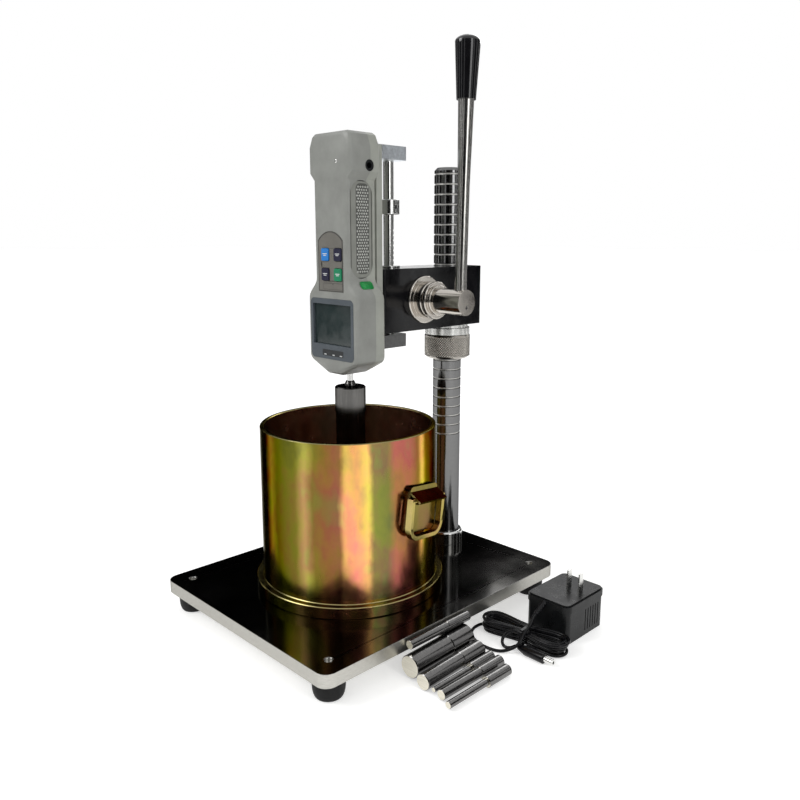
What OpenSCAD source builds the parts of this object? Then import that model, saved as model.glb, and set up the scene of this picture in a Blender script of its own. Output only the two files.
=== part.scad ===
// Bench penetration tester for fresh concrete mortar: a lever and rack press a needle
// into the mould through a hand-held force gauge. Millimetres, +Z up, operator on -Y.

/* [Base plate] */
// Width of the base plate, left to right
plate_w = 252; // [200:1:320]
// Depth of the base plate, front to back
plate_d = 307; // [280:1:400]
// Thickness of the base plate
plate_t = 12.5; // [8:0.5:20]
// Corner radius of the base plate
plate_corner_r = 11; // [4:0.5:25]
// Distance of the foot holes from the plate's edges
hole_inset = 19; // [15:0.5:30]
// Diameter of the foot holes
hole_d = 6.5; // [5:0.1:10]
// Chamfer at the foot holes
hole_chamfer = 0.8; // [0.2:0.1:1.5]

/* [Feet] */
// Height of a rubber foot
foot_h = 18.8; // [10:0.2:30]
// Diameter of a foot under the plate
foot_top_d = 28; // [20:0.5:36]
// Diameter of a foot's sole
foot_sole_d = 21; // [14:0.5:28]
// Height of the straight upper part of a foot
foot_straight_h = 7; // [2:0.5:9]
// Depth of a stud in its foot
stud_in_foot = 9; // [5:0.5:12]
// Depth of a stud's end below the plate's top
stud_recess = 3; // [1:0.5:8]

/* [Column] */
// Diameter of the column
column_d = 30; // [24:0.5:40]
// Height of the column above the plate
column_h = 402.4; // [380:0.2:480]
// Distance of the column's axis behind the plate's centre
column_y = 120; // [105:1:130]
// Chamfer at the column's top
column_chamfer = 3; // [1:0.2:5]
// Height of the first ring groove above the plate
groove_first_h = 125.9; // [100:0.1:160]
// Distance between ring grooves
groove_pitch = 10; // [6:0.5:14]
// Number of ring grooves
groove_count = 28; // [5:1:28]
// Width of a ring groove
groove_w = 1.8; // [1:0.1:3]
// Depth of a ring groove
groove_depth = 1; // [0.4:0.1:2]
// Diameter of the column's spigot in the plate
spigot_d = 20; // [14:0.5:22]
// Diameter of the ring round the column's foot
base_ring_d = 38; // [36:0.5:50]
// Height of the ring round the column's foot
base_ring_h = 14.2; // [8:0.2:20]
// Chamfer of the ring round the column's foot
base_ring_chamfer = 1.6; // [0.5:0.1:3]

/* [Height stop] */
// Height of the arm's underside above the plate
arm_bottom_h = 244.4; // [235:0.2:260]
// Diameter of the support ring under the arm
support_d = 47; // [40:0.5:56]
// Height of the support ring's wide part
support_h = 7; // [4:0.5:12]
// Diameter of the support ring's upper face
support_top_d = 43; // [36:0.5:46]
// Height of the support ring's upper part
support_top_h = 3.7; // [2:0.1:6]
// Diameter of the lock nut
nut_d = 48.5; // [42:0.5:58]
// Height of the lock nut
nut_h = 25; // [16:0.5:32]
// Chamfer of the lock nut
nut_chamfer = 2.2; // [0.5:0.1:4]
// Number of flutes of the lock nut's knurl
nut_flutes = 60; // [24:4:90]
// Diameter of one flute of the knurl
flute_d = 1.6; // [0.8:0.1:2.4]

/* [Arm] */
// Width of the arm housing
arm_w = 50; // [46:1:60]
// Height of the arm housing
arm_h = 60; // [58:0.5:66]
// Distance of the arm's rear face behind the column's axis
arm_rear = 25; // [20:0.5:32]
// Distance of the arm's front face in front of the rack bar's axis
arm_front = 29.7; // [29:0.1:29.9]
// Corner radius of the arm housing
arm_corner_r = 3; // [1:0.5:6]
// Distance of the rack bar's axis in front of the column's axis
bar_reach = 85.3; // [83:0.1:88]
// Diameter of the rack bar's bushes
bar_bush_d = 15.4; // [13:0.1:15.6]
// Length of a rack bar bush in the arm
bar_bush_len = 11.5; // [6:0.5:12]
// Diameter of a rack bar bush's flange
bar_flange_d = 21.6; // [18:0.2:24]
// Thickness of a rack bar bush's flange
bar_flange_t = 2; // [1:0.1:2.5]

/* [Pinion and lever] */
// Module of the rack teeth
tooth_module = 1.5; // [1.45:0.05:1.5]
// Number of pinion teeth
pinion_teeth = 28; // [27:1:28]
// Face width of the pinion
pinion_w = 18; // [12:0.5:19]
// Diameter of the bearing boss on the arm's side
boss_d = 46; // [45.9:0.1:50]
// Thickness of the boss's flange against the arm's side
boss_flange_t = 2.5; // [1.5:0.5:5]
// Diameter of the boss in front of its flange
boss_step_d = 35.6; // [28:0.2:44]
// Reach of the bearing boss out of the arm
boss_out = 12; // [8:0.5:20]
// Diameter of the lever shaft
shaft_d = 16; // [12:0.5:18]
// Diameter of the lever shaft's bushes
shaft_bush_d = 21; // [20:0.5:24]
// Thickness of a shaft bush's flange
shaft_flange_t = 1.2; // [1:0.1:3]
// Diameter of a shaft bush's flange
shaft_flange_d = 25; // [23:0.5:28]
// Diameter of the collar on the lever shaft
collar_d = 36; // [30:0.5:42]
// Width of the collar on the lever shaft
collar_w = 4; // [3:0.5:14]
// Diameter of the collar's shoulder
collar_step_d = 29; // [20:0.5:34]
// Width of the collar's shoulder
collar_step_w = 3; // [1:0.5:6]
// Diameter of the hub at the lever shaft's end
hub_d = 24; // [20:0.5:30]
// Length of the hub
hub_len = 34; // [22:0.5:40]
// Distance of the lever rod's axis from the hub's end face
rod_from_end = 8; // [7:0.5:12]
// Diameter of the lever rod at the hub
rod_d = 11.2; // [8:0.2:13]
// Depth of the lever rod below the hub's axis
rod_sink = 6; // [3:0.5:8]
// Diameter of the lever rod at the grip
rod_top_d = 14.4; // [11.4:0.2:16]
// Distance from the hub's axis to the start of the rod's taper
rod_taper_start = 105; // [60:1:140]
// Distance from the hub's axis to the grip
grip_start = 180; // [150:1:220]
// Length of the grip
grip_len = 54; // [40:1:80]
// Diameter of the grip at its lower end
grip_d = 17.6; // [16.4:0.2:22]
// Diameter of the grip at its top
grip_top_d = 22.8; // [18:0.2:28]
// Backward lean of the lever at rest, in degrees
lever_lean = 1.3; // [0:0.1:5]

/* [Rack] */
// Diameter of the rack bar
bar_d = 10; // [9:0.1:10]
// Height of the top bracket's upper face above the arm's underside
bracket_top_h = 172; // [150:0.5:200]
// Thickness of the brackets
bracket_t = 12.5; // [8:0.5:14]
// Width of the brackets
bracket_w = 25; // [18:0.5:32]
// Distance of a bracket's rear face behind the rack bar's axis
bracket_rear = 12.3; // [8:0.1:16]
// Gap between the lower bracket and the arm's underside
lower_bracket_gap = 4; // [3.5:0.5:10]
// Stroke of the rack
stroke = 47.5; // [30:0.5:47.5]
// Diameter of the stop collar
stop_d = 21; // [16:0.5:26]
// Height of the stop collar
stop_h = 14.2; // [10:0.2:20]
// Diameter of the stop collar's set screw
stop_screw_d = 4; // [3:0.5:5]
// Height of the back plate above and below the brackets
plate_margin = 2; // [0:0.5:6]
// Thickness of the back plate
back_t = 7; // [4:0.5:10]
// Width of the back plate
back_w = 48; // [40:1:50]
// Diameter of the bracket screws
screw_d = 5; // [3:0.5:6]

/* [Gauge] */
// Depth of the gauge, front to back
gauge_d = 35; // [28:0.5:44]
// Depth of the rear shell
rear_shell_d = 12; // [6:0.5:13]
// Height of the gauge's head above the nose's tip
head_h = 70; // [55:0.2:75]
// Height of the gauge above the nose's tip
gauge_h = 215.6; // [205:0.2:230]
// Depth of the nose's tip below the arm's underside
nose_drop = 36.3; // [30:0.1:45]
// Height of the nose
nose_h = 12.6; // [8:0.2:20]
// Width of the nose's tip
nose_w = 20; // [14:0.5:30]
// Width of the head
head_w = 70; // [66:0.5:80]
// Width of the waist
waist_w = 47; // [44:0.5:60]
// Width of the crown
crown_w = 59; // [46:0.5:60]
// Height of the shoulder between the head and the waist
shoulder_h = 18; // [10:0.5:30]
// Length of the waist
waist_len = 87; // [85:0.5:95]
// Height of the crown's slanted corners
crown_r = 12; // [6:0.5:20]
// Width of the crown's slanted corners
crown_slant = 5; // [3:0.5:8]
// Radius of the head's lower corners
head_r = 7; // [3:0.5:12]
// Wall of the gauge's shells
shell_wall = 3; // [2:0.5:5]
// Width of the bevel round the gauge's front
front_bevel = 4; // [2:0.5:7]
// Width of the bevel round the gauge's back
rear_bevel = 2.4; // [1:0.2:4]

/* [Display and keypad] */
// Width of the display bezel
bezel_w = 61; // [50:0.5:64]
// Height of the display bezel
bezel_h = 56; // [44:0.5:58]
// Height of the bezel's lower edge above the nose's tip
bezel_z = 14; // [13:0.2:20]
// Thickness of the bezel
bezel_t = 2.4; // [1.5:0.1:3]
// Width of the display window
window_w = 54; // [40:0.5:56]
// Height of the display window
window_h = 37.5; // [26:0.5:40]
// Distance of the window from the bezel's top
window_inset = 5; // [3:0.5:8]
// Width of the keypad panel
keypad_w = 35; // [30:0.5:38]
// Height of the keypad panel at its sides
keypad_h = 46; // [42:0.5:50]
// Rise of the keypad panel's arched top
keypad_arch = 8; // [3:0.5:10]
// Height of the keypad panel's lower edge above the nose's tip
keypad_z = 76.5; // [75:0.5:80]
// Thickness of the keypad panel
keypad_t = 1.6; // [1:0.1:2]
// Width of a key
key_w = 10; // [8:0.5:11]
// Height of a key
key_h = 11; // [8:0.5:12]
// Distance between the keys, across
key_pitch_x = 17.6; // [15:0.1:18]
// Distance between the keys, up
key_pitch_z = 17.8; // [15:0.1:20]
// Height of the lower keys above the panel's lower edge
key_row_z = 15.5; // [12:0.5:17]
// Travel of a key
key_travel = 0.8; // [0.4:0.1:1]
// Stand of a key above its panel
key_proud = 1; // [1:0.1:1.4]

/* [Side grips and socket] */
// Length of a side grip panel
side_grip_len = 86; // [70:1:88]
// Width of a side grip panel, front to back
side_grip_w = 26; // [18:0.5:27]
// Thickness of a side grip panel
side_grip_t = 1.6; // [1:0.1:2]
// Number of raised rows on a side grip panel
side_grip_rows = 16; // [8:1:20]
// Diameter of the charger socket's body
socket_d = 10; // [8:0.5:11]
// Diameter of the charger socket's bore
socket_bore_d = 5.7; // [5:0.1:6]
// Depth of the charger socket's bore
socket_depth = 9; // [6:0.5:10]
// Height of the charger socket above the nose's tip
socket_z = 186.9; // [184:0.1:192]

/* [Load path] */
// Diameter of the load spindle
spindle_d = 6; // [5:0.1:8]
// Distance of the spindle's axis behind the gauge's front
spindle_y = 21; // [16:0.5:22]
// Gap between the nose's tip and the cone nut
spindle_show = 8.4; // [6:0.2:14]
// Diameter of the cone nut
cone_nut_d = 11; // [9:0.2:14]
// Height of the cone nut
cone_nut_h = 5.2; // [4:0.2:8]
// Diameter of the mounted needle's shank
mounted_shank_d = 29.5; // [20:0.5:34]
// Length of the mounted needle's shank
mounted_shank_len = 25.3; // [15:0.1:30]
// Diameter of the mounted needle's tip
mounted_tip_d = 28.3; // [10:0.1:29]
// Length of the mounted needle's tip
mounted_tip_len = 45.5; // [30:0.5:50]

/* [Mould] */
// Inner diameter of the mould
mould_inner_d = 160; // [150:1:170]
// Wall of the mould at its rim
mould_wall = 4; // [3:0.5:6]
// Draft of the mould's outer wall, on the radius
mould_draft = 1.2; // [0:0.1:2]
// Height of the mould
mould_h = 159.3; // [140:0.1:165]
// Reach of the mould's foot flange beyond the wall's foot
flange_out = 6.5; // [3:0.1:14]
// Thickness of the mould's foot flange
flange_t = 11; // [6:0.5:14]
// Thickness of the mould's bottom
mould_floor_t = 6; // [4:0.5:10]
// Distance of the mould's axis in front of the plate's centre
mould_y = 19.35; // [12:0.05:24]
// Angle of the handles round the mould, in degrees
handle_angle = 9.5; // [0:0.5:20]
// Tilt of the handles as they are welded on, in degrees
handle_tilt = 8; // [0:0.5:10]

/* [Handles] */
// Height of the handles' centre above the mould's bottom
handle_z = 90.5; // [75:0.5:110]
// Width of the handle plate
handle_plate_w = 43; // [36:0.5:48]
// Height of the handle plate
handle_plate_h = 43; // [36:0.5:48]
// Stand of the handle plate's face off the mould's wall
handle_plate_t = 2.2; // [1.5:0.1:3]
// Reach of the hood over the bail
hood_out = 11; // [9:0.5:16]
// Drop of the hood over its reach
hood_drop = 8.5; // [5:0.5:12]
// Thickness of the hood
hood_t = 1.8; // [1.2:0.1:2.5]
// Width of a bail
bail_w = 52; // [44:0.5:60]
// Height of a bail below its rod
bail_h = 36; // [30:0.5:42]
// Width of a bail's strip
bail_strip = 4; // [3:0.5:5]
// Depth of a bail's strip
bail_depth = 6.2; // [5:0.2:8]
// Diameter of a bail's rod
bail_rod_d = 4; // [3:0.1:5]

/* [Loose needles] */
// Length of a loose needle's shank
needle_shank_len = 28; // [20:0.5:34]
// Length of a loose needle's tip
needle_tip_len = 46.5; // [30:0.5:50]
// Diameter of the threaded holes in the needles
needle_hole_d = 5.2; // [3:0.1:6]
// Depth of the threaded holes in the needles
needle_hole_depth = 10; // [6:0.5:14]

/* [Charger] */
// Width of the charger's lid
charger_w = 48; // [44:0.5:60]
// Depth of the charger's lid, front to back
charger_d = 63; // [50:0.5:76]
// Height of the charger without its blades
charger_h = 38.5; // [24:0.5:40]
// Height of the charger's lid
lid_h = 7.5; // [4:0.5:8]
// Step between the charger's lid and its case
lid_step = 0.9; // [0.4:0.1:2]
// Corner radius of the charger
charger_r = 7; // [3:0.5:9]
// Length of the charger's blades
blade_len = 17.5; // [14:0.5:19]
// Width of the charger's blades
blade_w = 6.35; // [5:0.05:7]
// Thickness of the charger's blades
blade_t = 1.5; // [1.2:0.1:2]
// Distance between the charger's blades
blade_pitch = 12.7; // [11:0.1:14]
// Number of grooves in the charger's side
charger_grooves = 6; // [1:1:8]

/* [Cord] */
// Diameter of the cord
cord_d = 3; // [2.6:0.1:3]
// Diameter of the plug's body
plug_d = 9.4; // [8:0.2:10]
// Length of the plug's body
plug_len = 28; // [20:0.5:32]
// Diameter of the plug's barrel
barrel_d = 5.5; // [5:0.1:6]
// Length of the plug's barrel
barrel_len = 9.5; // [8:0.5:11]

/* [Hidden] */

// Facets of round pieces, and of small ones
round_fn = 96;
small_fn = 48;
// Overrun of a cut past the face that it opens
over = 1;
// Running clearance on the radius, and the gap between pieces that move apart
fit = 0.05;
gap = 0.3;

plate_top = foot_h + plate_t;
arm_bottom = plate_top + arm_bottom_h;
arm_top = arm_bottom + arm_h;
bar_y = column_y - bar_reach;

// Rack and pinion: the bar's rear edge is the tip line of the teeth
pitch_r = tooth_module * pinion_teeth / 2;
addendum = tooth_module;
dedendum = 1.25 * tooth_module;
pinion_outer_r = pitch_r + addendum;
pinion_root_r = pitch_r - dedendum;
tooth_pitch = PI * tooth_module;
tip_trim = 0.05;
pitch_line_y = bar_y + bar_d / 2 - addendum + tip_trim;
backlash = 0.3;
pressure_angle = 20;
pinion_y = pitch_line_y + pitch_r;
pinion_drop = 0.7;
pinion_z = arm_bottom + arm_h / 2 - pinion_drop;
cavity_d = boss_d + 2 * fit;
rack_reach = 15;

// Lever shaft, along X from the arm's left face to the hub's end
arm_side = arm_w / 2;
boss_face = arm_side + boss_out;
collar_x = boss_face + shaft_flange_t + gap;
hub_x = collar_x + collar_w + collar_step_w;
hub_end = hub_x + hub_len;
rod_x = hub_end - rod_from_end;

// Rack slide
bracket_z = arm_bottom + bracket_top_h;
lower_bracket_z = arm_bottom - lower_bracket_gap - bracket_t;
back_rear_y = bar_y - arm_front - gap;
back_front_y = back_rear_y - back_t;
stop_z = arm_top + bar_flange_t + stroke + gap;

// Gauge
gauge_rear_y = back_front_y;
gauge_front_y = gauge_rear_y - gauge_d;
parting_y = gauge_rear_y - rear_shell_d;
nose_z = arm_bottom - nose_drop;
spindle_axis_y = gauge_front_y + spindle_y;
head_top_z = nose_z + head_h;
waist_z = head_top_z + shoulder_h;
waist_top_z = waist_z + waist_len;
crown_step = 6.5;
crown_z = nose_z + gauge_h;
key_shift = 2;
key_x0 = -key_pitch_x / 2 + key_shift;
panel_proud = 0.3;
key_recess = keypad_t - panel_proud;
needle_top = nose_z - spindle_show - cone_nut_h;

// Mould and handles
mould_rim_r = mould_inner_d / 2 + mould_wall;
mould_foot_r = mould_rim_r + mould_draft;
flange_r = mould_foot_r + flange_out;
handle_face = mould_foot_r + handle_plate_t;
hood_margin = 5;
hood_fold_z = handle_plate_h / 2 - hood_margin;
bail_axis_x = handle_face + bail_depth / 2 + gap;
bail_below = 7.5;
bail_axis_z = hood_fold_z - bail_below;

// Charger, in its own frame turned on the bench
charger_x = 177.3;
charger_y = 97;
charger_turn = 0;
relief_x = -2.3;
relief_z = 34.2;
relief_root = [charger_x + relief_x, charger_y - charger_d / 2, relief_z];
blade_at = [5.4, 6.7];

// The part's origin lies under the middle of the plate and the charger beside it
half_w = charger_w / 2 - charger_r;
half_d = charger_d / 2 - charger_r;
pack_reach = charger_x + cos(charger_turn) * half_w - sin(charger_turn) * half_d + charger_r;
origin_x = (pack_reach - plate_w / 2) / 2;

// Centre of the folded cord, half its length, and its lanes
hank_at = [167, 47, 0];
hank_turn = 6;
hank_end = 32.3;
lane_r = 12.2;
lane_pitch = 3.55;
layer_h = 3.5;
hank_lift = 1;
waist_in = 4.1;
hank_turns = 6.75;
loop_rings = 24;
hank_sides = 6;
// Turns at which the lanes reverse and climb to the next layer, and the length of a climb
climb_turns = [1.75, 3.25, 4.75];
climb_share = 0.3;
end_share = 0.2;
tie_x = 2.6;
tie_w = 3;
tie_t = 0.8;

// Route of the charger's lead, from the relief to the folded cord
lead_route = [
    [174.1, 54, 27.3], [173.93, 51.85, 26], [174.2, 49, 23.4], [174.6, 45.6, 20],
    [174.9, 42.4, 17.8], [175.2, 39, 16.9], [175.9, 35.6, 15.6], [176.6, 32.2, 13.9],
    [176.9, 29.2, 11.7], [176.6, 26.4, 9.4],
    [175.2, 23.6, 6.9], [172.6, 21.2, 4.9], [169.4, 18.6, 3.0], [165.4, 15.6, 1.9],
    [160.6, 13.2, 1.6], [155, 11.9, 1.6], [149, 11.6, 1.6], [143, 12.2, 1.6],
    [137, 13.8, 1.6], [131.2, 16.7, 1.6], [126.2, 20.8, 1.6], [122.6, 25.6, 1.6],
    [120.6, 30.6, 1.6], [120.2, 35.4, 1.8], [121, 39.2, 2.2],
];
// Route of the plug's lead, from the top of the folded cord to the plug
plug_route = [
    [162.8, 36.7, 12.9], [159.4, 34.6, 11.6], [157.3, 31.8, 9.2], [156.9, 28.8, 6.2],
    [158.4, 26, 3.7], [161.6, 24.2, 2.2], [165.4, 24.1, 1.9], [168.6, 25.6, 2.6],
    [170.8, 27.5, 3.8], [172.8, 28.4, 4.7],
];
plug_at = [175.4, 28.4];
plug_turn = 0;

module in_frame() {
    translate([-origin_x, 0, 0]) children();
}

// Rounded rectangle, centred
module rounded(w, d, r) {
    offset(r) square([w - 2 * r, d - 2 * r], center = true);
}

// Rounded rectangle with true arcs: two bars and four discs
module plate_outline(w, d, r) {
    square([w - 2 * r, d], center = true);
    square([w, d - 2 * r], center = true);
    for (x = [-1, 1], y = [-1, 1])
        translate([x * (w / 2 - r), y * (d / 2 - r)]) circle(r, $fn = small_fn);
}

// Places children at the four foot holes
module at_feet() {
    for (x = [-1, 1], y = [-1, 1])
        translate([x * (plate_w / 2 - hole_inset), y * (plate_d / 2 - hole_inset), 0]) children();
}

// Cylinder along +X, from x = 0
module along_x(len, d) {
    rotate([0, 90, 0]) cylinder(h = len, d = d, $fn = round_fn);
}

// Base plate: four tapped holes and the seat of the column's spigot
module base_plate() {
    color("silver") in_frame() translate([0, 0, foot_h]) difference() {
        linear_extrude(plate_t) plate_outline(plate_w, plate_d, plate_corner_r);
        at_feet() {
            translate([0, 0, -over])
                cylinder(h = plate_t + 2 * over, d = hole_d, $fn = small_fn);
            translate([0, 0, plate_t - hole_chamfer])
                cylinder(h = hole_chamfer, d1 = hole_d, d2 = hole_d + 2 * hole_chamfer, $fn = small_fn);
        }
        translate([0, column_y, -over])
            cylinder(h = plate_t + 2 * over, d = spigot_d + 2 * fit, $fn = small_fn);
    }
}

// Half section of a rubber foot: straight, then a rounded taper to the sole
function foot_curve(n) = [for (i = [0:n])
    let(a = 90 * i / n, rise = foot_h - foot_straight_h)
    [foot_sole_d / 2 + (foot_top_d - foot_sole_d) / 2 * sin(a), rise * (1 - cos(a))]];

module rubber_feet() {
    color("dimgray") in_frame() at_feet() difference() {
        rotate_extrude($fn = small_fn)
            polygon(concat([[0, 0]], foot_curve(6), [[foot_top_d / 2, foot_h], [0, foot_h]]));
        translate([0, 0, foot_h - stud_in_foot])
            cylinder(h = stud_in_foot + over, d = hole_d - 2 * fit, $fn = small_fn);
    }
}

module foot_studs() {
    stud_len = stud_in_foot + plate_t - stud_recess;
    color("gray") in_frame() at_feet() translate([0, 0, foot_h - stud_in_foot])
        cylinder(h = stud_len, d = hole_d - 4 * fit, $fn = small_fn);
}

// Half section of the column, from its top down one ring groove after another
function groove_points(i) =
    let(z = groove_first_h + i * groove_pitch, r = column_d / 2)
    [[r, z - groove_w / 2], [r - groove_depth, z - groove_w / 4],
     [r - groove_depth, z + groove_w / 4], [r, z + groove_w / 2]];

module column() {
    grooves = [for (i = [0:groove_count - 1]) each groove_points(i)];
    color("lightgray") in_frame() translate([0, column_y, plate_top])
        rotate_extrude($fn = round_fn) polygon(concat(
            [[0, -plate_t], [spigot_d / 2, -plate_t], [spigot_d / 2, 0], [column_d / 2, 0]],
            grooves,
            [[column_d / 2, column_h - column_chamfer],
             [column_d / 2 - column_chamfer, column_h], [0, column_h]]));
}

// Ring of a given half section round the column
module column_sleeve(points) {
    translate([0, column_y, 0]) rotate_extrude($fn = round_fn) polygon(points);
}

module column_base_ring() {
    inner = column_d / 2 + fit;
    outer = base_ring_d / 2;
    color("silver") in_frame() translate([0, 0, plate_top]) column_sleeve([
        [inner, 0], [outer, 0], [outer, base_ring_h - base_ring_chamfer],
        [outer - base_ring_chamfer, base_ring_h], [inner, base_ring_h]]);
}

module support_ring() {
    inner = column_d / 2 + fit;
    total = support_h + support_top_h;
    color("silver") in_frame() translate([0, 0, arm_bottom - gap - total]) column_sleeve([
        [inner, 0], [support_d / 2, 0], [support_d / 2, support_h],
        [support_top_d / 2, support_h], [support_top_d / 2, total], [inner, total]]);
}

// Knurled lock nut: flutes round a chamfered sleeve
module lock_nut() {
    inner = column_d / 2 + fit;
    outer = nut_d / 2;
    nut_z = arm_bottom - support_h - support_top_h - nut_h - 2 * gap;
    color("darkgray") in_frame() translate([0, 0, nut_z]) difference() {
        column_sleeve([
            [inner, 0], [outer - nut_chamfer, 0], [outer, nut_chamfer],
            [outer, nut_h - nut_chamfer / 2], [outer - nut_chamfer / 2, nut_h], [inner, nut_h]]);
        translate([0, column_y, -over]) for (i = [0:nut_flutes - 1])
            rotate(i * 360 / nut_flutes) translate([outer + flute_d / 4, 0, 0])
                cylinder(h = nut_h + 2 * over, d = flute_d, $fn = 8);
    }
}

// Arm housing: bored for the column, the rack bar, the pinion and the shaft
module arm_housing() {
    depth = arm_front + bar_reach + arm_rear;
    mid_y = bar_y - arm_front + depth / 2;
    color("black") in_frame() difference() {
        translate([0, mid_y, arm_bottom]) linear_extrude(arm_h)
            plate_outline(arm_w, depth, arm_corner_r);
        translate([0, column_y, arm_bottom - over])
            cylinder(h = arm_h + 2 * over, d = column_d + 2 * fit, $fn = round_fn);
        translate([0, bar_y, arm_bottom - over])
            cylinder(h = arm_h + 2 * over, d = bar_bush_d, $fn = small_fn);
        translate([-pinion_w / 2 - gap, pinion_y, pinion_z]) along_x(arm_w, cavity_d);
        translate([-arm_w, pinion_y, pinion_z]) along_x(arm_w, shaft_bush_d);
    }
}

// Flanged bush of the rack bar; the flange lies outside the arm
module rack_bush(z, up) {
    translate([0, bar_y, z]) scale([1, 1, up]) rotate_extrude($fn = small_fn) polygon([
        [bar_d / 2 + fit, -bar_bush_len], [bar_bush_d / 2, -bar_bush_len], [bar_bush_d / 2, 0],
        [bar_flange_d / 2, 0], [bar_flange_d / 2, bar_flange_t], [bar_d / 2 + fit, bar_flange_t]]);
}

module rack_bushes() {
    color("silver") in_frame() {
        rack_bush(arm_top, 1);
        translate([0, 0, 2 * arm_bottom]) mirror([0, 0, 1]) rack_bush(arm_bottom, 1);
    }
}

// Bearing boss: a plug in the pinion cavity that stands out of the arm's side
module bearing_boss() {
    start = pinion_w / 2 + gap;
    len = boss_face - start;
    seat = arm_side + boss_flange_t - start;
    chamfer = boss_out / 15;
    color("silver") in_frame() translate([start, pinion_y, pinion_z]) rotate([0, 90, 0])
        rotate_extrude($fn = round_fn) polygon([
            [shaft_bush_d / 2, 0], [boss_d / 2, 0], [boss_d / 2, seat - chamfer],
            [boss_d / 2 - chamfer, seat], [boss_step_d / 2, seat], [boss_step_d / 2, len - chamfer],
            [boss_step_d / 2 - chamfer, len], [shaft_bush_d / 2, len]]);
}

// Flanged bush of the shaft, its flange at x = 0 and its barrel towards -X
module shaft_bush(len) {
    rotate([0, 90, 0]) rotate_extrude($fn = small_fn) polygon([
        [shaft_d / 2 + fit, -len], [shaft_bush_d / 2, -len], [shaft_bush_d / 2, 0],
        [shaft_flange_d / 2, 0], [shaft_flange_d / 2, shaft_flange_t],
        [shaft_d / 2 + fit, shaft_flange_t]]);
}

module shaft_bushes() {
    left_len = arm_side - pinion_w / 2 - gap;
    right_len = boss_face - pinion_w / 2 - gap;
    color("peru") in_frame() {
        translate([boss_face, pinion_y, pinion_z]) shaft_bush(right_len);
        translate([-arm_side, pinion_y, pinion_z]) mirror([1, 0, 0]) shaft_bush(left_len);
    }
}

// Lever shaft with its hub, cross-drilled for the rod
module pinion_shaft() {
    start = -arm_side - shaft_flange_t;
    color("silver") in_frame() difference() {
        translate([start, pinion_y, pinion_z]) rotate([0, 90, 0]) rotate_extrude($fn = round_fn)
            polygon([[0, 0], [shaft_d / 2, 0], [shaft_d / 2, hub_x - start],
                [hub_d / 2, hub_x - start], [hub_d / 2, hub_end - start], [0, hub_end - start]]);
        lever_place() translate([0, 0, -rod_sink])
            cylinder(h = hub_d, d = rod_d + 2 * fit, $fn = small_fn);
    }
}

// Involute of the pinion's flank at a roll angle, and one tooth's outline
function flank(base_r, a, turn) =
    let(arc = a * PI / 180)
    [base_r * (cos(a + turn) + arc * sin(a + turn)), base_r * (sin(a + turn) - arc * cos(a + turn))];
function roll_at(base_r, r) = sqrt(max(0, pow(r / base_r, 2) - 1)) * 180 / PI;
function tooth_points(base_r, half_turn) =
    let(a0 = roll_at(base_r, pinion_root_r), a1 = roll_at(base_r, pinion_outer_r))
    concat(
        [for (i = [0:3]) flank(base_r, a0 + (a1 - a0) * i / 3, -half_turn)],
        [for (i = [3:-1:0]) let(p = flank(base_r, a0 + (a1 - a0) * i / 3, -half_turn)) [p.x, -p.y]]);

module pinion_outline() {
    base_r = pitch_r * cos(pressure_angle);
    roll = tan(pressure_angle) * 180 / PI;
    half_turn = 90 / pinion_teeth - backlash / 4 / pitch_r * 180 / PI + roll - pressure_angle;
    for (i = [0:pinion_teeth - 1]) rotate(i * 360 / pinion_teeth)
        polygon(concat([[0, 0]], tooth_points(base_r, half_turn)));
    circle(pinion_root_r, $fn = round_fn);
}

module pinion_gear() {
    color("gray") in_frame() translate([-pinion_w / 2, pinion_y, pinion_z])
        rotate([0, 90, 0]) rotate(-90) linear_extrude(pinion_w) difference() {
            pinion_outline();
            circle(shaft_d / 2, $fn = round_fn);
        }
}

module lever_collar() {
    chamfer = collar_w / 6;
    len = collar_w + collar_step_w;
    color("silver") in_frame() translate([collar_x, pinion_y, pinion_z]) rotate([0, 90, 0])
        rotate_extrude($fn = round_fn) polygon([
            [shaft_d / 2, 0], [collar_d / 2 - chamfer, 0], [collar_d / 2, chamfer],
            [collar_d / 2, collar_w - chamfer], [collar_d / 2 - chamfer, collar_w],
            [collar_step_d / 2, collar_w], [collar_step_d / 2, len - chamfer],
            [collar_step_d / 2 - chamfer, len], [shaft_d / 2, len]]);
}

// Puts children on the lever's line, with the hub's axis at z = 0
module lever_place() {
    translate([rod_x, pinion_y, pinion_z]) rotate([-lever_lean, 0, 0]) children();
}

module lever_rod() {
    color("silver") in_frame() lever_place() rotate_extrude($fn = small_fn) polygon([
        [0, -rod_sink], [rod_d / 2, -rod_sink], [rod_d / 2, rod_taper_start],
        [rod_top_d / 2, grip_start], [rod_d / 2, grip_start], [rod_d / 2, grip_start + grip_len / 2],
        [0, grip_start + grip_len / 2]]);
}

// Grip: a slow flare to a domed top
module lever_grip() {
    dome_r = grip_top_d / 2;
    dome_h = dome_r / 2;
    color("black") in_frame() lever_place() translate([0, 0, grip_start])
        rotate_extrude($fn = small_fn) polygon(concat(
            [[rod_d / 2, grip_len / 2], [rod_d / 2, 0], [grip_d / 2, 0]],
            [for (i = [0:8]) [dome_r * cos(90 * i / 8), grip_len - dome_h + dome_h * sin(90 * i / 8)]],
            [[0, grip_len / 2]]));
}

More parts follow.
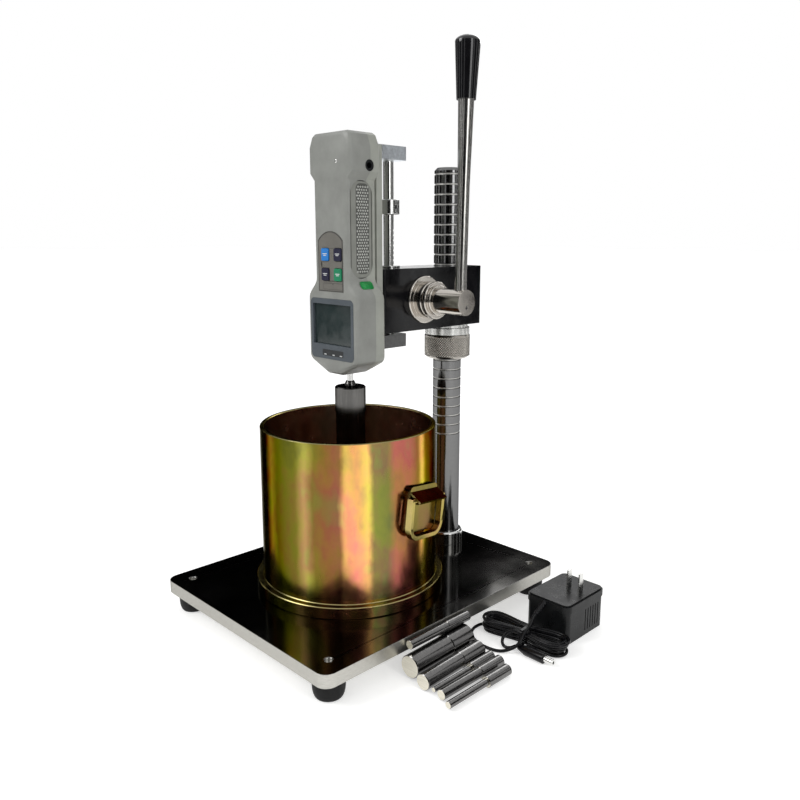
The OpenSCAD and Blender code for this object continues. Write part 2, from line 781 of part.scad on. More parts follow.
// Rack bar: round, with straight rack teeth cut across its rear edge
module rack_bar() {
    from_z = lower_bracket_z;
    to_z = bracket_z;
    gaps_below = floor(rack_reach / tooth_pitch);
    gaps_above = ceil((rack_reach + stroke) / tooth_pitch);
    gap_half = tooth_pitch / 4 + backlash / 4;
    slope = tan(pressure_angle);
    root_y = pitch_line_y - dedendum;
    out_y = pitch_line_y + addendum + over;
    color("silver") in_frame() difference() {
        translate([0, bar_y, from_z]) cylinder(h = to_z - from_z, d = bar_d, $fn = small_fn);
        for (i = [-gaps_below:gaps_above])
            translate([-bar_d, 0, pinion_z + i * tooth_pitch]) rotate([90, 0, 90])
                linear_extrude(2 * bar_d) polygon([
                    [root_y, -gap_half + dedendum * slope], [root_y, gap_half - dedendum * slope],
                    [out_y, gap_half + (addendum + over) * slope],
                    [out_y, -gap_half - (addendum + over) * slope]]);
    }
}

// Bracket between the back plate and the rack bar, rounded at its corners
module bracket(z) {
    depth = bar_y + bracket_rear - back_rear_y;
    color("lightsteelblue") in_frame() translate([0, back_rear_y, z]) difference() {
        translate([0, depth / 2, 0]) linear_extrude(bracket_t)
            plate_outline(bracket_w, depth, bracket_w / 16);
        translate([0, bar_y - back_rear_y, -over])
            cylinder(h = bracket_t + 2 * over, d = bar_d + 2 * fit, $fn = small_fn);
        for (x = [-1, 1]) translate([x * bracket_w / 4, -over, bracket_t / 2]) rotate([-90, 0, 0])
            cylinder(h = 3 * screw_d + over, d = screw_d, $fn = small_fn);
    }
}

module top_bracket() { bracket(bracket_z - bracket_t); }

module lower_bracket() { bracket(lower_bracket_z); }

// Places children on the screws' axes, at the back plate's front face, heading +Y
module at_bracket_screws() {
    for (z = [lower_bracket_z + bracket_t / 2, bracket_z - bracket_t / 2], x = [-1, 1])
        translate([x * bracket_w / 4, back_front_y, z]) rotate([-90, 0, 0]) children();
}

module back_plate() {
    low = lower_bracket_z - plate_margin;
    high = bracket_z - plate_margin;
    mid_y = (back_front_y + back_rear_y) / 2;
    color("gray") in_frame() difference() {
        translate([-back_w / 2, mid_y - back_t / 2, low]) cube([back_w, back_t, high - low]);
        at_bracket_screws() {
            translate([0, 0, -over])
                cylinder(h = back_t + 2 * over, d = screw_d, $fn = small_fn);
            translate([0, 0, -over])
                cylinder(h = screw_d / 2 + over, d = 2 * screw_d, $fn = small_fn);
        }
    }
}

module bracket_screws() {
    color("dimgray") in_frame() at_bracket_screws() {
        cylinder(h = back_t + 2.5 * screw_d, d = screw_d - 2 * fit, $fn = small_fn);
        cylinder(h = screw_d / 2 - fit, d = 2 * screw_d - 2 * fit, $fn = small_fn);
    }
}

module stop_collar() {
    chamfer = stop_h / 20;
    color("silver") in_frame() translate([0, bar_y, stop_z]) difference() {
        rotate_extrude($fn = round_fn) polygon([
            [bar_d / 2 + fit, 0], [stop_d / 2 - chamfer, 0], [stop_d / 2, chamfer],
            [stop_d / 2, stop_h - chamfer], [stop_d / 2 - chamfer, stop_h], [bar_d / 2 + fit, stop_h]]);
        translate([0, 0, stop_h / 2]) along_x(stop_d, stop_screw_d);
    }
}

module stop_screw() {
    start = bar_d / 2 + 2 * fit;
    color("dimgray") in_frame() translate([start, bar_y, stop_z + stop_h / 2])
        along_x(stop_d / 2 - start - fit, stop_screw_d);
}

// Right half of the gauge's outline, in X and Z, drawn in by inset
function arc(cx, cz, r, a0, a1, n) = [for (i = [0:n])
    let(a = a0 + (a1 - a0) * i / n) [cx + r * cos(a), cz + r * sin(a)]];
nose_lift_share = 2.3;
function half_outline(inset) =
    let(head = head_w / 2, waist = waist_w / 2, crown = crown_w / 2,
        low = nose_z + nose_h + head_r * 0.6)
    concat(
        [[nose_w / 2, nose_z + inset * nose_lift_share]],
        arc(head - head_r, low, head_r - inset * 0.8, -62, 0, 4),
        [for (i = [0:6]) let(s = (1 - cos(30 * i)) / 2)
            [head + (waist - head) * s - inset, head_top_z + shoulder_h * i / 6]],
        [[waist - inset, waist_top_z], [crown - inset, waist_top_z + crown_step],
            [crown - inset, crown_z - crown_r],
            [crown - crown_slant * 0.8 - inset, crown_z - crown_slant / 2 - inset * 0.9],
            [crown - crown_slant * 1.6 - inset, crown_z - inset]]);
function outline(inset) =
    let(right = half_outline(inset), n = len(right))
    concat(right, [for (i = [n - 1:-1:0]) [-right[i].x, right[i].y]]);

// Skin through outlines at several depths; each layer is [y, inset]
module loft(layers) {
    n = len(outline(0));
    last = len(layers) - 1;
    points = [for (l = layers) each [for (p = outline(l[1])) [p.x, l[0], p.y]]];
    sides = [for (j = [0:last - 1], k = [0:n - 1], half = [0, 1])
        let(a = j * n + k, b = j * n + (k + 1) % n, c = a + n, e = b + n)
        half == 0 ? [a, b, e] : [a, e, c]];
    half_n = n / 2;
    front = [for (k = [0:half_n - 2]) [k, n - 1 - k, n - 2 - k, k + 1]];
    back = [for (f = front) [for (k = [3:-1:0]) last * n + f[k]]];
    polyhedron(points, concat(front, sides, back));
}

// Pocket of the front face: a cut of a given depth under children drawn in X and Z
module front_pocket(depth) {
    translate([0, gauge_front_y + depth, 0]) rotate([90, 0, 0])
        linear_extrude(depth + over) children();
}

module bezel_shape(shrink) {
    translate([0, nose_z + bezel_z + bezel_h / 2])
        plate_outline(bezel_w - 2 * shrink, bezel_h - 2 * shrink, bezel_h / 12 - shrink);
}

module window_shape(shrink) {
    translate([0, nose_z + bezel_z + bezel_h - window_inset - window_h / 2])
        square([window_w - 2 * shrink, window_h - 2 * shrink], center = true);
}

// Keypad panel: straight sides under a round arch
module keypad_shape(shrink) {
    arch_r = (pow(keypad_w / 2, 2) + pow(keypad_arch, 2)) / (2 * keypad_arch);
    side = keypad_w / 2 - shrink;
    translate([0, nose_z + keypad_z]) intersection() {
        translate([-side, shrink]) square([2 * side, keypad_h + keypad_arch]);
        union() {
            translate([0, keypad_h + keypad_arch - arch_r]) circle(arch_r - shrink, $fn = round_fn);
            translate([-side, 0]) square([2 * side, keypad_h / 2]);
        }
    }
}

// Keys by column and row, counted from the lower left
module key_shape(column, row, grow) {
    translate([key_x0 + column * key_pitch_x, nose_z + keypad_z + key_row_z + row * key_pitch_z])
        plate_outline(key_w + 2 * grow, key_h + 2 * grow, key_h / 8 + grow);
}

function socket_y() = gauge_rear_y - rear_shell_d - socket_d / 10;

// Room for the charger socket in the gauge's right side
module socket_room(extra) {
    translate([crown_w / 2 - socket_depth - 2 * shell_wall, socket_y(), nose_z + socket_z])
        along_x(crown_w, socket_d + 2 * extra);
}

// Recess of a side grip: a long round-ended slot in the waist's side
module side_grip_room(side, depth, grow) {
    mid_z = waist_z + waist_len / 2;
    mid_y = gauge_front_y + front_bevel + side_grip_w / 2;
    r = side_grip_w / 2 + grow;
    reach = side_grip_len / 2 - side_grip_w / 2;
    translate([side * (waist_w / 2 - depth), mid_y, mid_z]) rotate([0, side * 90, 0])
        linear_extrude(depth + over) {
            square([2 * reach, 2 * r], center = true);
            for (e = [-1, 1]) translate([e * reach, 0]) circle(r, $fn = small_fn);
        }
}

// Inner room of the gauge between two depths
module gauge_room(y0, y1) {
    inner = waist_w / 2 - shell_wall - side_grip_t;
    low = nose_z + nose_h + shell_wall;
    translate([0, y1, 0]) rotate([90, 0, 0]) linear_extrude(y1 - y0) {
        translate([-inner, low]) square([2 * inner, crown_z - crown_r - low]);
        translate([-head_w / 2 + 2 * shell_wall, low + shell_wall])
            square([head_w - 4 * shell_wall, head_top_z - low - 2 * shell_wall]);
    }
}

module spindle_hole(extra) {
    translate([0, spindle_axis_y, nose_z - over])
        cylinder(h = nose_h + 2 * shell_wall, d = spindle_d + 2 * extra, $fn = small_fn);
}

module gauge_front_shell() {
    key_depth = key_recess + key_travel + 2 * gap + key_base_t;
    color("lightgray") in_frame() difference() {
        loft([[gauge_front_y, front_bevel], [gauge_front_y + front_bevel / 8, front_bevel * 0.6],
            [gauge_front_y + front_bevel * 0.4, front_bevel * 0.2],
            [gauge_front_y + front_bevel, 0], [parting_y, 0]]);
        gauge_room(gauge_front_y + front_wall, parting_y + over);
        front_pocket(bezel_t - panel_proud) bezel_shape(-fit);
        front_pocket(bezel_t - panel_proud + window_t) window_shape(-fit - window_lip);
        front_pocket(key_recess) keypad_shape(-fit);
        front_pocket(key_depth) for (c = [0, 1], r = [0, 1]) key_shape(c, r, key_lip + gap);
        for (side = [-1, 1]) side_grip_room(side, side_grip_t, fit);
        socket_room(fit);
        spindle_hole(2 * gap);
    }
}
front_wall = 7;
window_t = 1.6;
window_lip = 1.5;
key_base_t = 1.3;
key_lip = 0.8;

module gauge_rear_shell() {
    color("darkgray") in_frame() difference() {
        loft([[parting_y + fit, 0], [gauge_rear_y - rear_bevel, 0],
            [gauge_rear_y - rear_bevel / 4, rear_bevel / 2], [gauge_rear_y, rear_bevel]]);
        gauge_room(parting_y - over, gauge_rear_y - shell_wall);
        for (side = [-1, 1]) side_grip_room(side, side_grip_t, fit);
        socket_room(fit);
        spindle_hole(2 * gap);
    }
}

// Side grips: a panel in its recess, with low raised rows
module side_grip(side) {
    row_pitch = (side_grip_len - side_grip_w) / side_grip_rows;
    mid_y = gauge_front_y + front_bevel + side_grip_w / 2;
    start = waist_z + waist_len / 2 - row_pitch * (side_grip_rows - 1) / 2;
    difference() {
        intersection() {
            side_grip_room(side, side_grip_t, 0);
            translate([-waist_w / 2, gauge_front_y, nose_z]) cube([waist_w, gauge_d, gauge_h]);
        }
        for (i = [0:side_grip_rows])
            translate([side * waist_w / 2, mid_y, start + (i - 0.5) * row_pitch])
                cube([row_cut, side_grip_w * 0.6, row_cut], center = true);
    }
}
row_cut = 0.8;

module side_grips() {
    color("gray") in_frame() for (side = [-1, 1]) side_grip(side);
}

module display_bezel() {
    color("dimgray") in_frame() translate([0, gauge_front_y + bezel_t - panel_proud, 0])
        rotate([90, 0, 0]) linear_extrude(bezel_t) difference() {
            bezel_shape(0);
            window_shape(0);
        }
}

module display_window() {
    color("darkslategray") in_frame()
        translate([0, gauge_front_y + bezel_t - panel_proud + window_t, 0])
            rotate([90, 0, 0]) linear_extrude(window_t - fit) window_shape(-window_lip);
}

module keypad_panel() {
    color("gray") in_frame() translate([0, gauge_front_y + key_recess, 0]) rotate([90, 0, 0])
        linear_extrude(keypad_t) difference() {
            keypad_shape(0);
            for (c = [0, 1], r = [0, 1]) key_shape(c, r, gap);
        }
}

// Key: a cap through the panel on a wider base behind it
module key_cap(c, r) {
    rear_y = gauge_front_y + key_recess + key_base_t;
    front_y = gauge_front_y - panel_proud - key_proud;
    in_frame() translate([0, rear_y, 0]) rotate([90, 0, 0]) {
        linear_extrude(rear_y - front_y) key_shape(c, r, 0);
        linear_extrude(key_base_t - gap) key_shape(c, r, key_lip);
    }
}

module key_blue() { color("dodgerblue") key_cap(0, 1); }

module key_upper_dark() { color("midnightblue") key_cap(1, 1); }

module key_lower_dark() { color("midnightblue") key_cap(0, 0); }

module key_green() { color("seagreen") key_cap(1, 0); }

module charger_socket() {
    len = socket_depth + shell_wall;
    color("black") in_frame() difference() {
        translate([crown_w / 2 - len - gap, socket_y(), nose_z + socket_z])
            along_x(len, socket_d);
        translate([crown_w / 2 - gap - socket_depth, socket_y(), nose_z + socket_z])
            along_x(socket_depth + over, socket_bore_d);
    }
}

module load_spindle() {
    low = needle_top - needle_hole_depth;
    color("silver") in_frame() translate([0, spindle_axis_y, low])
        cylinder(h = cell_z - low, d = spindle_d, $fn = small_fn);
}
cell_z = nose_z + nose_h + 8 * shell_wall / 3;

module cone_nut() {
    color("silver") in_frame() translate([0, spindle_axis_y, needle_top])
        rotate_extrude($fn = small_fn) polygon([
            [spindle_d / 2 + fit, 0], [cone_nut_d / 2, 0], [cone_nut_d / 2, cone_nut_h / 3],
            [spindle_d / 2 + cone_nut_d / 12, cone_nut_h], [spindle_d / 2 + fit, cone_nut_h]]);
}

// Needle on its axis, tip down; the origin is the middle of the shank's end
module needle(tip_d, tip_len, shank_d, shank_len, bore_d, bore_depth) {
    edge = shank_d / 30;
    rotate_extrude($fn = small_fn) polygon([
        [0, -shank_len - tip_len], [tip_d / 2 - edge, -shank_len - tip_len],
        [tip_d / 2, -shank_len - tip_len + edge], [tip_d / 2, -shank_len],
        [shank_d / 2 - edge, -shank_len], [shank_d / 2, -shank_len + edge],
        [shank_d / 2, -edge], [shank_d / 2 - edge, 0], [bore_d / 2, 0],
        [bore_d / 2, -bore_depth], [0, -bore_depth]]);
}

module mounted_needle() {
    color("silver") in_frame() translate([0, spindle_axis_y, needle_top])
        needle(mounted_tip_d, mounted_tip_len, mounted_shank_d, mounted_shank_len,
            spindle_d + 2 * fit, needle_hole_depth);
}

// Inner pieces of the gauge, each a simple block on its neighbours
inner_y = gauge_front_y + front_wall;
module load_cell() {
    color("silver") in_frame() translate([-back_w / 4, spindle_axis_y - cell_w / 2, cell_z])
        difference() {
            cube([back_w / 2, cell_w, cell_h]);
            translate([back_w / 4, cell_w / 2 - cell_w, cell_h / 2]) rotate([-90, 0, 0])
                cylinder(h = 2 * cell_w, d = cell_h / 2, $fn = small_fn);
        }
}
cell_w = 11;
cell_h = 18;

module circuit_board() {
    color("green") in_frame()
        translate([-board_w / 2, inner_y + fit, head_top_z - board_h / 3])
            cube([board_w, board_t, board_h]);
}
board_w = 34;
board_h = 90;
board_t = 1.6;

module battery_pack() {
    color("orange") in_frame() for (x = [-1, 1])
        translate([x * battery_d / 2, inner_y + board_t + 2 * fit + battery_d / 2, waist_z + fit])
            cylinder(h = battery_h, d = battery_d - 2 * fit, $fn = small_fn);
}
battery_d = 14;
battery_h = 50;

// Outer radius of the mould's wall at a height above its bottom
function wall_r(z) = mould_foot_r - mould_draft * (z - flange_t) / (mould_h - flange_t);

module mould_place() {
    translate([0, -mould_y, plate_top + gap]) children();
}

module mould_bucket() {
    edge = mould_wall / 6;
    inner = mould_inner_d / 2;
    color("darkkhaki") in_frame() mould_place() rotate_extrude($fn = round_fn) polygon([
        [0, 0], [flange_r - edge, 0], [flange_r, edge], [flange_r, flange_t - edge],
        [flange_r - edge, flange_t], [wall_r(flange_t) + edge, flange_t],
        [wall_r(flange_t), flange_t + edge], [wall_r(mould_h), mould_h - edge],
        [wall_r(mould_h) - edge, mould_h], [inner + edge, mould_h], [inner, mould_h - edge],
        [inner, mould_floor_t], [0, mould_floor_t]]);
}

// Frame of one handle: +X out of the wall, +Z up the tilted plate
module handle_place(side) {
    mould_place() rotate(handle_angle + (side < 0 ? 180 : 0))
        translate([0, 0, handle_z]) rotate([-handle_tilt, 0, 0]) children();
}

// Stamped plate fitted to the wall, its hood and the two lugs of the bail's rod
module handle_plate() {
    lug_r = bail_rod_d / 2 + hood_t;
    lug_w = handle_plate_w / 7;
    lug_y = handle_plate_w / 4;
    root = mould_inner_d / 2;
    difference() {
        union() {
            translate([root, 0, 0]) rotate([90, 0, 90]) linear_extrude(handle_face - root)
                plate_outline(handle_plate_w, handle_plate_h, handle_plate_w / 10);
            translate([0, handle_plate_w / 2, 0]) rotate([90, 0, 0])
                linear_extrude(handle_plate_w) polygon([
                    [handle_face - hood_t, hood_fold_z + hood_t], [handle_face - hood_t, hood_fold_z],
                    [handle_face + hood_out, hood_fold_z - hood_drop],
                    [handle_face + hood_out + hood_t / 2, hood_fold_z - hood_drop + hood_t]]);
            for (side = [-1, 1])
                translate([handle_face - hood_t, side * lug_y + lug_w / 2, bail_axis_z - lug_r])
                    rotate([90, 0, 0]) linear_extrude(lug_w) {
                        square([bail_axis_x - handle_face + hood_t, 2 * lug_r]);
                        translate([bail_axis_x - handle_face + hood_t, lug_r])
                            circle(lug_r, $fn = small_fn);
                    }
        }
        translate([bail_axis_x, bail_w / 2, bail_axis_z]) rotate([90, 0, 0])
            cylinder(h = bail_w, d = bail_rod_d + 2 * fit, $fn = small_fn);
    }
}

module handle_plates() {
    color("darkkhaki") in_frame() difference() {
        for (side = [-1, 1]) handle_place(side) handle_plate();
        mould_place() rotate_extrude($fn = round_fn) polygon([
            [0, flange_t], [wall_r(flange_t) + fit, flange_t],
            [wall_r(mould_h) + fit, mould_h], [0, mould_h]]);
    }
}

// Bail: a strip bent to a deep U with round lower corners, closed by a round rod
module bail() {
    corner = bail_w / 4;
    top = bail_depth / 2;
    translate([bail_axis_x - bail_depth / 2, 0, bail_axis_z]) rotate([90, 0, 90])
        linear_extrude(bail_depth) difference() {
            bail_outline(bail_w, bail_h, corner, top);
            bail_outline(bail_w - 2 * bail_strip, bail_h - bail_strip, corner - bail_strip, 2 * top);
        }
    translate([bail_axis_x, bail_w / 2 - bail_strip / 2, bail_axis_z]) rotate([90, 0, 0])
        cylinder(h = bail_w - bail_strip, d = bail_rod_d, $fn = small_fn);
}

// U-shaped outline from a height above the rod down to the bail's lower edge
module bail_outline(w, h, corner, top) {
    translate([-w / 2, -h + corner]) square([w, h - corner + top]);
    translate([-w / 2 + corner, -h]) square([w - 2 * corner, 2 * corner]);
    for (side = [-1, 1]) translate([side * (w / 2 - corner), -h + corner])
        circle(corner, $fn = small_fn);
}

module bail_right() { color("goldenrod") in_frame() handle_place(1) bail(); }

module bail_left() { color("goldenrod") in_frame() handle_place(-1) bail(); }

// Loose needles: tip diameter, shank diameter, x of the axis, y of the shank's end, turn
needle_table = [
    [8.2, 9.2, 130.8, 8.5, 0],
    [20.3, 22, 134.6, 2.4, 2],
    [14.3, 15.3, 154.6, -2.2, 2],
    [4.5, 9.6, 167.2, -0.5, 0.5],
    [9.1, 10.4, 178.2, -1.8, -0.5],
    [6.4, 10, 191.2, -7.9, -0.4],
];

// Height of a loose needle's axis: on the bench, or in the valley beside the plate
function rest_z(i) = i > 0 ? needle_table[i][1] / 2 :
    let(reach = (needle_table[0][1] + needle_table[1][1]) / 2 + gap,
        across = needle_table[1][2] - needle_table[0][2] + gap)
    needle_table[1][1] / 2 + sqrt(reach * reach - across * across);

module loose_needle(i) {
    n = needle_table[i];
    bore = min(needle_hole_d, n[1] * 0.6);
    color("silver") in_frame() translate([n[2], n[3], rest_z(i)]) rotate(n[4]) rotate([-90, 0, 0])
        needle(n[0], needle_tip_len, n[1], needle_shank_len, bore, needle_hole_depth);
}

module charger_place() {
    translate([charger_x, charger_y, 0]) rotate(charger_turn) children();
}

module charger_case() {
    case_h = charger_h - lid_h;
    w = charger_w - 2 * lid_step;
    d = charger_d - 2 * lid_step;
    groove = charger_d / 50;
    groove_gap = charger_d / 15;
    groove_z = charger_h / 8;
    color("black") in_frame() charger_place() difference() {
        linear_extrude(case_h) plate_outline(w, d, charger_r - lid_step);
        for (i = [0:charger_grooves - 1])
            translate([w / 2 - groove, d / 2 - charger_r - 3 * groove - i * groove_gap, groove_z])
                cube([2 * groove, groove, case_h - 2 * groove_z]);
    }
}

module charger_lid() {
    edge = lid_h / 5;
    color("black") in_frame() charger_place() translate([0, 0, charger_h - lid_h]) difference() {
        union() {
            linear_extrude(lid_h - edge) plate_outline(charger_w, charger_d, charger_r);
            translate([0, 0, lid_h - edge]) linear_extrude(edge)
                plate_outline(charger_w - 2 * edge, charger_d - 2 * edge, charger_r - edge);
        }
        for (side = [-1, 1]) translate([blade_at.x + side * blade_pitch / 2, blade_at.y, 0])
            cube([blade_t + 2 * fit, blade_w + 2 * fit, 3 * lid_h], center = true);
    }
}

module charger_blades() {
    color("silver") in_frame() charger_place() for (side = [-1, 1])
        translate([blade_at.x + side * blade_pitch / 2 - blade_t / 2, blade_at.y - blade_w / 2,
            charger_h - lid_h])
            cube([blade_t, blade_w, blade_len + lid_h]);
}

// Strain relief: a ribbed cone from the lid's front face to the start of the lead
module cord_relief() {
    ribs = 5;
    axis = lead_route[0] - relief_root;
    len = norm(axis);
    step = len / ribs;
    root_r = cord_d;
    tip_r = cord_d * 0.75;
    color("black") in_frame() difference() {
        translate(relief_root) rotate([0, acos(axis.z / len), atan2(axis.y, axis.x)])
            translate([0, 0, -step]) rotate_extrude($fn = small_fn)
                polygon(concat([[0, 0]],
                    [for (i = [0:ribs], e = [0, 1])
                        let(r = root_r + (tip_r - root_r) * i / ribs)
                        [r - e * cord_d / 8, (i + e * 0.55) * step]],
                    [[tip_r - cord_d / 8, len + step], [0, len + step]]));
        charger_place() translate([-charger_w, -charger_d / 2, 0])
            cube([2 * charger_w, charger_d, 2 * charger_h]);
    }
}

// Swept tube: rings square to the route, each with the same number of sides
function unit(v) = v / norm(v);
function heading(path, i) =
    unit(path[min(i + 1, len(path) - 1)] - path[max(i - 1, 0)]);
function tube_ring(path, i, r, sides) =
    let(t = heading(path, i), u = unit(cross([0, 0, 1], t)), v = cross(t, u))
    [for (k = [0:sides - 1]) let(a = 360 * k / sides + 90) path[i] + r * (cos(a) * u + sin(a) * v)];
module tube(path, first, last, d, sides) {
    n = last - first + 1;
    points = [for (i = [first:last]) each tube_ring(path, i, d / 2, sides)];
    skin = [for (i = [0:n - 2], k = [0:sides - 1], half = [0, 1])
        let(a = i * sides + k, b = i * sides + (k + 1) % sides, c = a + sides, e = b + sides)
        half == 0 ? [a, c, e] : [a, e, b]];
    start = [for (k = [1:sides - 2]) [0, k, k + 1]];
    end = (n - 1) * sides;
    stop = [for (k = [1:sides - 2]) [end, end + k + 1, end + k]];
    polyhedron(points, concat(start, skin, stop));
}

// Lane of the folded cord after a number of turns: in, out, in and out again
function lane(t) = let(a = climb_turns[0], b = climb_turns[1], c = climb_turns[2])
    t < a ? lane_r - lane_pitch * t :
    t < b ? lane_r - lane_pitch * (2 * a - t) :
    t < c ? lane_r - lane_pitch * (2 * a - 2 * b + t) :
    lane_r - lane_pitch * (2 * a - 2 * b + 2 * c - t);
function climbed(t) = [for (c = climb_turns) min(1, max(0, (t - c) / climb_share + 0.5))]
    * [for (c = climb_turns) 1];
function run_y(x, r) = r - waist_in * pow(cos(90 * x / hank_end), 2);

// Point of the folded cord after t turns, clockwise from its left end
function hank_flat(t) =
    let(r = lane(t), p = t - floor(t + end_share / 2), run = 0.5 - end_share)
    p < end_share / 2 ? let(a = 180 * p / end_share) [-hank_end - r * cos(a), r * sin(a)] :
    p < 0.5 - end_share / 2 ?
        let(x = hank_end * (2 * (p - end_share / 2) / run - 1)) [x, run_y(x, r)] :
    p < 0.5 + end_share / 2 ?
        let(a = 180 * (p - 0.5) / end_share) [hank_end + r * cos(a), -r * sin(a)] :
    let(x = hank_end * (1 - 2 * (p - 0.5 - end_share / 2) / run)) [x, -run_y(x, r)];
function hank_point(t) =
    let(q = hank_flat(t), z = hank_lift + cord_d / 2 + layer_h * climbed(t))
    [hank_at.x + q.x * cos(hank_turn) - q.y * sin(hank_turn),
     hank_at.y + q.x * sin(hank_turn) + q.y * cos(hank_turn), z];
hank_path = [for (i = [0:round(hank_turns * loop_rings)]) hank_point(i / loop_rings)];
hank_gap = min([for (i = [0:len(hank_path) - 1], j = [i + loop_rings / 2:len(hank_path) - 1])
    norm(hank_path[i] - hank_path[j])]) - cord_d;
echo(least_gap_in_folded_cord = hank_gap);

// The whole cord: a point in the relief, the lead, the folded cord, the plug's lead and the plug
cord_path = concat([relief_root], lead_route, hank_path, plug_route,
    [plug_start(), plug_start() + (plug_start() - plug_route[len(plug_route) - 1])]);
lead_last = len(lead_route) + 1;
hank_last = len(lead_route) + len(hank_path);

module charger_lead() {
    color("black") in_frame() tube(cord_path, 1, lead_last, cord_d, 8);
}

module cord_hank() {
    color("black") in_frame() tube(cord_path, lead_last, hank_last, cord_d, hank_sides);
}

// Tie: a flat band round the waist of the folded cord
module hank_tie() {
    half = lane_r + lane_pitch / 4 - waist_in + cord_d / 2 + gap;
    top = hank_lift + cord_d + layer_h * 3 + gap;
    color("black") in_frame() translate(hank_at) rotate(hank_turn) translate([tie_x - tie_w / 2, 0, 0])
        rotate([90, 0, 90]) linear_extrude(tie_w) difference() {
            translate([0, (top + tie_t) / 2]) plate_outline(2 * (half + tie_t), top + tie_t, cord_d);
            translate([0, (top + tie_t) / 2])
                plate_outline(2 * half, top - tie_t, cord_d - tie_t);
        }
}

module plug_lead() {
    color("black") in_frame() tube(cord_path, hank_last, len(cord_path) - 2, cord_d, 8);
}

function plug_start() = [plug_at.x, plug_at.y, plug_d / 2];

module plug_place() {
    translate(plug_start()) rotate(plug_turn) rotate([0, 90, 0]) children();
}

module dc_plug() {
    neck = plug_len / 4;
    color("black") in_frame() plug_place() rotate_extrude($fn = small_fn) polygon([
        [0, 0], [cord_d * 0.8, 0], [plug_d / 2 - cord_d / 6, neck], [plug_d / 2, neck + cord_d / 3],
        [plug_d / 2, plug_len - cord_d / 6], [plug_d / 2 - cord_d / 6, plug_len], [0, plug_len]]);
}

module dc_plug_barrel() {
    color("silver") in_frame() plug_place() translate([0, 0, plug_len]) difference() {
        cylinder(h = barrel_len, d = barrel_d, $fn = small_fn);
        cylinder(h = barrel_len + over, d = barrel_d / 2.2, $fn = small_fn);
    }
}

base_plate();
rubber_feet();
foot_studs();
column();
column_base_ring();
support_ring();
lock_nut();
arm_housing();
rack_bushes();
bearing_boss();
shaft_bushes();
pinion_shaft();
pinion_gear();
lever_collar();
lever_rod();
lever_grip();
rack_bar();
top_bracket();
lower_bracket();
back_plate();
bracket_screws();
stop_collar();
stop_screw();
gauge_front_shell();
gauge_rear_shell();
side_grips();
display_bezel();
display_window();
keypad_panel();
key_blue();
key_upper_dark();
key_lower_dark();
key_green();
charger_socket();
load_spindle();
cone_nut();
mounted_needle();
load_cell();
circuit_board();
battery_pack();
mould_bucket();
handle_plates();
bail_right();
bail_left();
loose_needle(0);  // loose_needle_1
loose_needle(1);  // loose_needle_2
loose_needle(2);  // loose_needle_3
loose_needle(3);  // loose_needle_4
loose_needle(4);  // loose_needle_5
loose_needle(5);  // loose_needle_6
charger_case();
charger_lid();
charger_blades();
cord_relief();
charger_lead();
cord_hank();
hank_tie();
plug_lead();
dc_plug();
dc_plug_barrel();
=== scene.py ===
import math

import bmesh
import bpy
from mathutils import Matrix, Vector


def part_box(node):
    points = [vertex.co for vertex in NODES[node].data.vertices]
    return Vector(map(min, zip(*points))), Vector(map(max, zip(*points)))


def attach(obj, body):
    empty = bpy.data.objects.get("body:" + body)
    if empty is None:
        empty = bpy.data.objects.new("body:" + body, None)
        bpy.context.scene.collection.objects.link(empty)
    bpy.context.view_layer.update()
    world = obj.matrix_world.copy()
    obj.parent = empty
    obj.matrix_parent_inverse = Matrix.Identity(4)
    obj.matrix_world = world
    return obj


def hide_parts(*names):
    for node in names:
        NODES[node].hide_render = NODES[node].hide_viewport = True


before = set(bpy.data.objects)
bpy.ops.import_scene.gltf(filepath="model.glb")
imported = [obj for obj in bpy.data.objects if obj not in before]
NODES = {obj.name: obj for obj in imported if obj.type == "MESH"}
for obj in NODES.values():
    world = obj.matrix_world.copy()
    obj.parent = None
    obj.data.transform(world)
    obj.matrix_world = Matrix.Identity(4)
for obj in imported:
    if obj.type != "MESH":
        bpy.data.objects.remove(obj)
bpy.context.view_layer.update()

MM = 0.001
ORIGIN_X = 37.65


def at(x, y, z):
    """A point of the stand's own frame, in millimetres, as metres of the row frame."""
    return Vector(((x - ORIGIN_X) * MM, y * MM, z * MM))


# ---------------------------------------------------------------- camera
PHOTO_PX, SENSOR, FOCAL_PX, AXIS_PX = 800, 36, 774.37, (413.866, 401.910)


def make_camera():
    """The camera solved from the photo's edges and rings; gives back its line of sight."""
    az, pitch, roll = 0.784268, 0.211646, -0.0024386
    forward = Vector((-math.sin(az) * math.cos(pitch), math.cos(az) * math.cos(pitch), -math.sin(pitch)))
    right = Vector((math.cos(az), math.sin(az), 0))
    up = right.cross(forward)
    right, up = right * math.cos(roll) - up * math.sin(roll), up * math.cos(roll) + right * math.sin(roll)
    data = bpy.data.cameras.new("camera")
    cam = bpy.data.objects.new("camera", data)
    bpy.context.scene.collection.objects.link(cam)
    m = Matrix((right, up, -forward)).transposed().to_4x4()
    m.translation = at(556.379, -487.810, 366.224)
    cam.matrix_world = m
    data.sensor_width = SENSOR
    data.lens = FOCAL_PX * SENSOR / PHOTO_PX
    data.shift_x = (PHOTO_PX / 2 - AXIS_PX[0]) / PHOTO_PX
    data.shift_y = (AXIS_PX[1] - PHOTO_PX / 2) / PHOTO_PX
    data.clip_start, data.clip_end = 0.02, 60
    bpy.context.scene.camera = cam
    return forward


VIEW = make_camera()
bpy.context.scene.view_settings.view_transform = "Standard"


# ---------------------------------------------------------------- mesh helpers
EDGE_SEGMENTS, EDGE_ANGLE = 2, 32
MERGE, WELD = 1e-6, 2e-6


def shade_smooth(mesh):
    mesh.polygons.foreach_set("use_smooth", [True] * len(mesh.polygons))


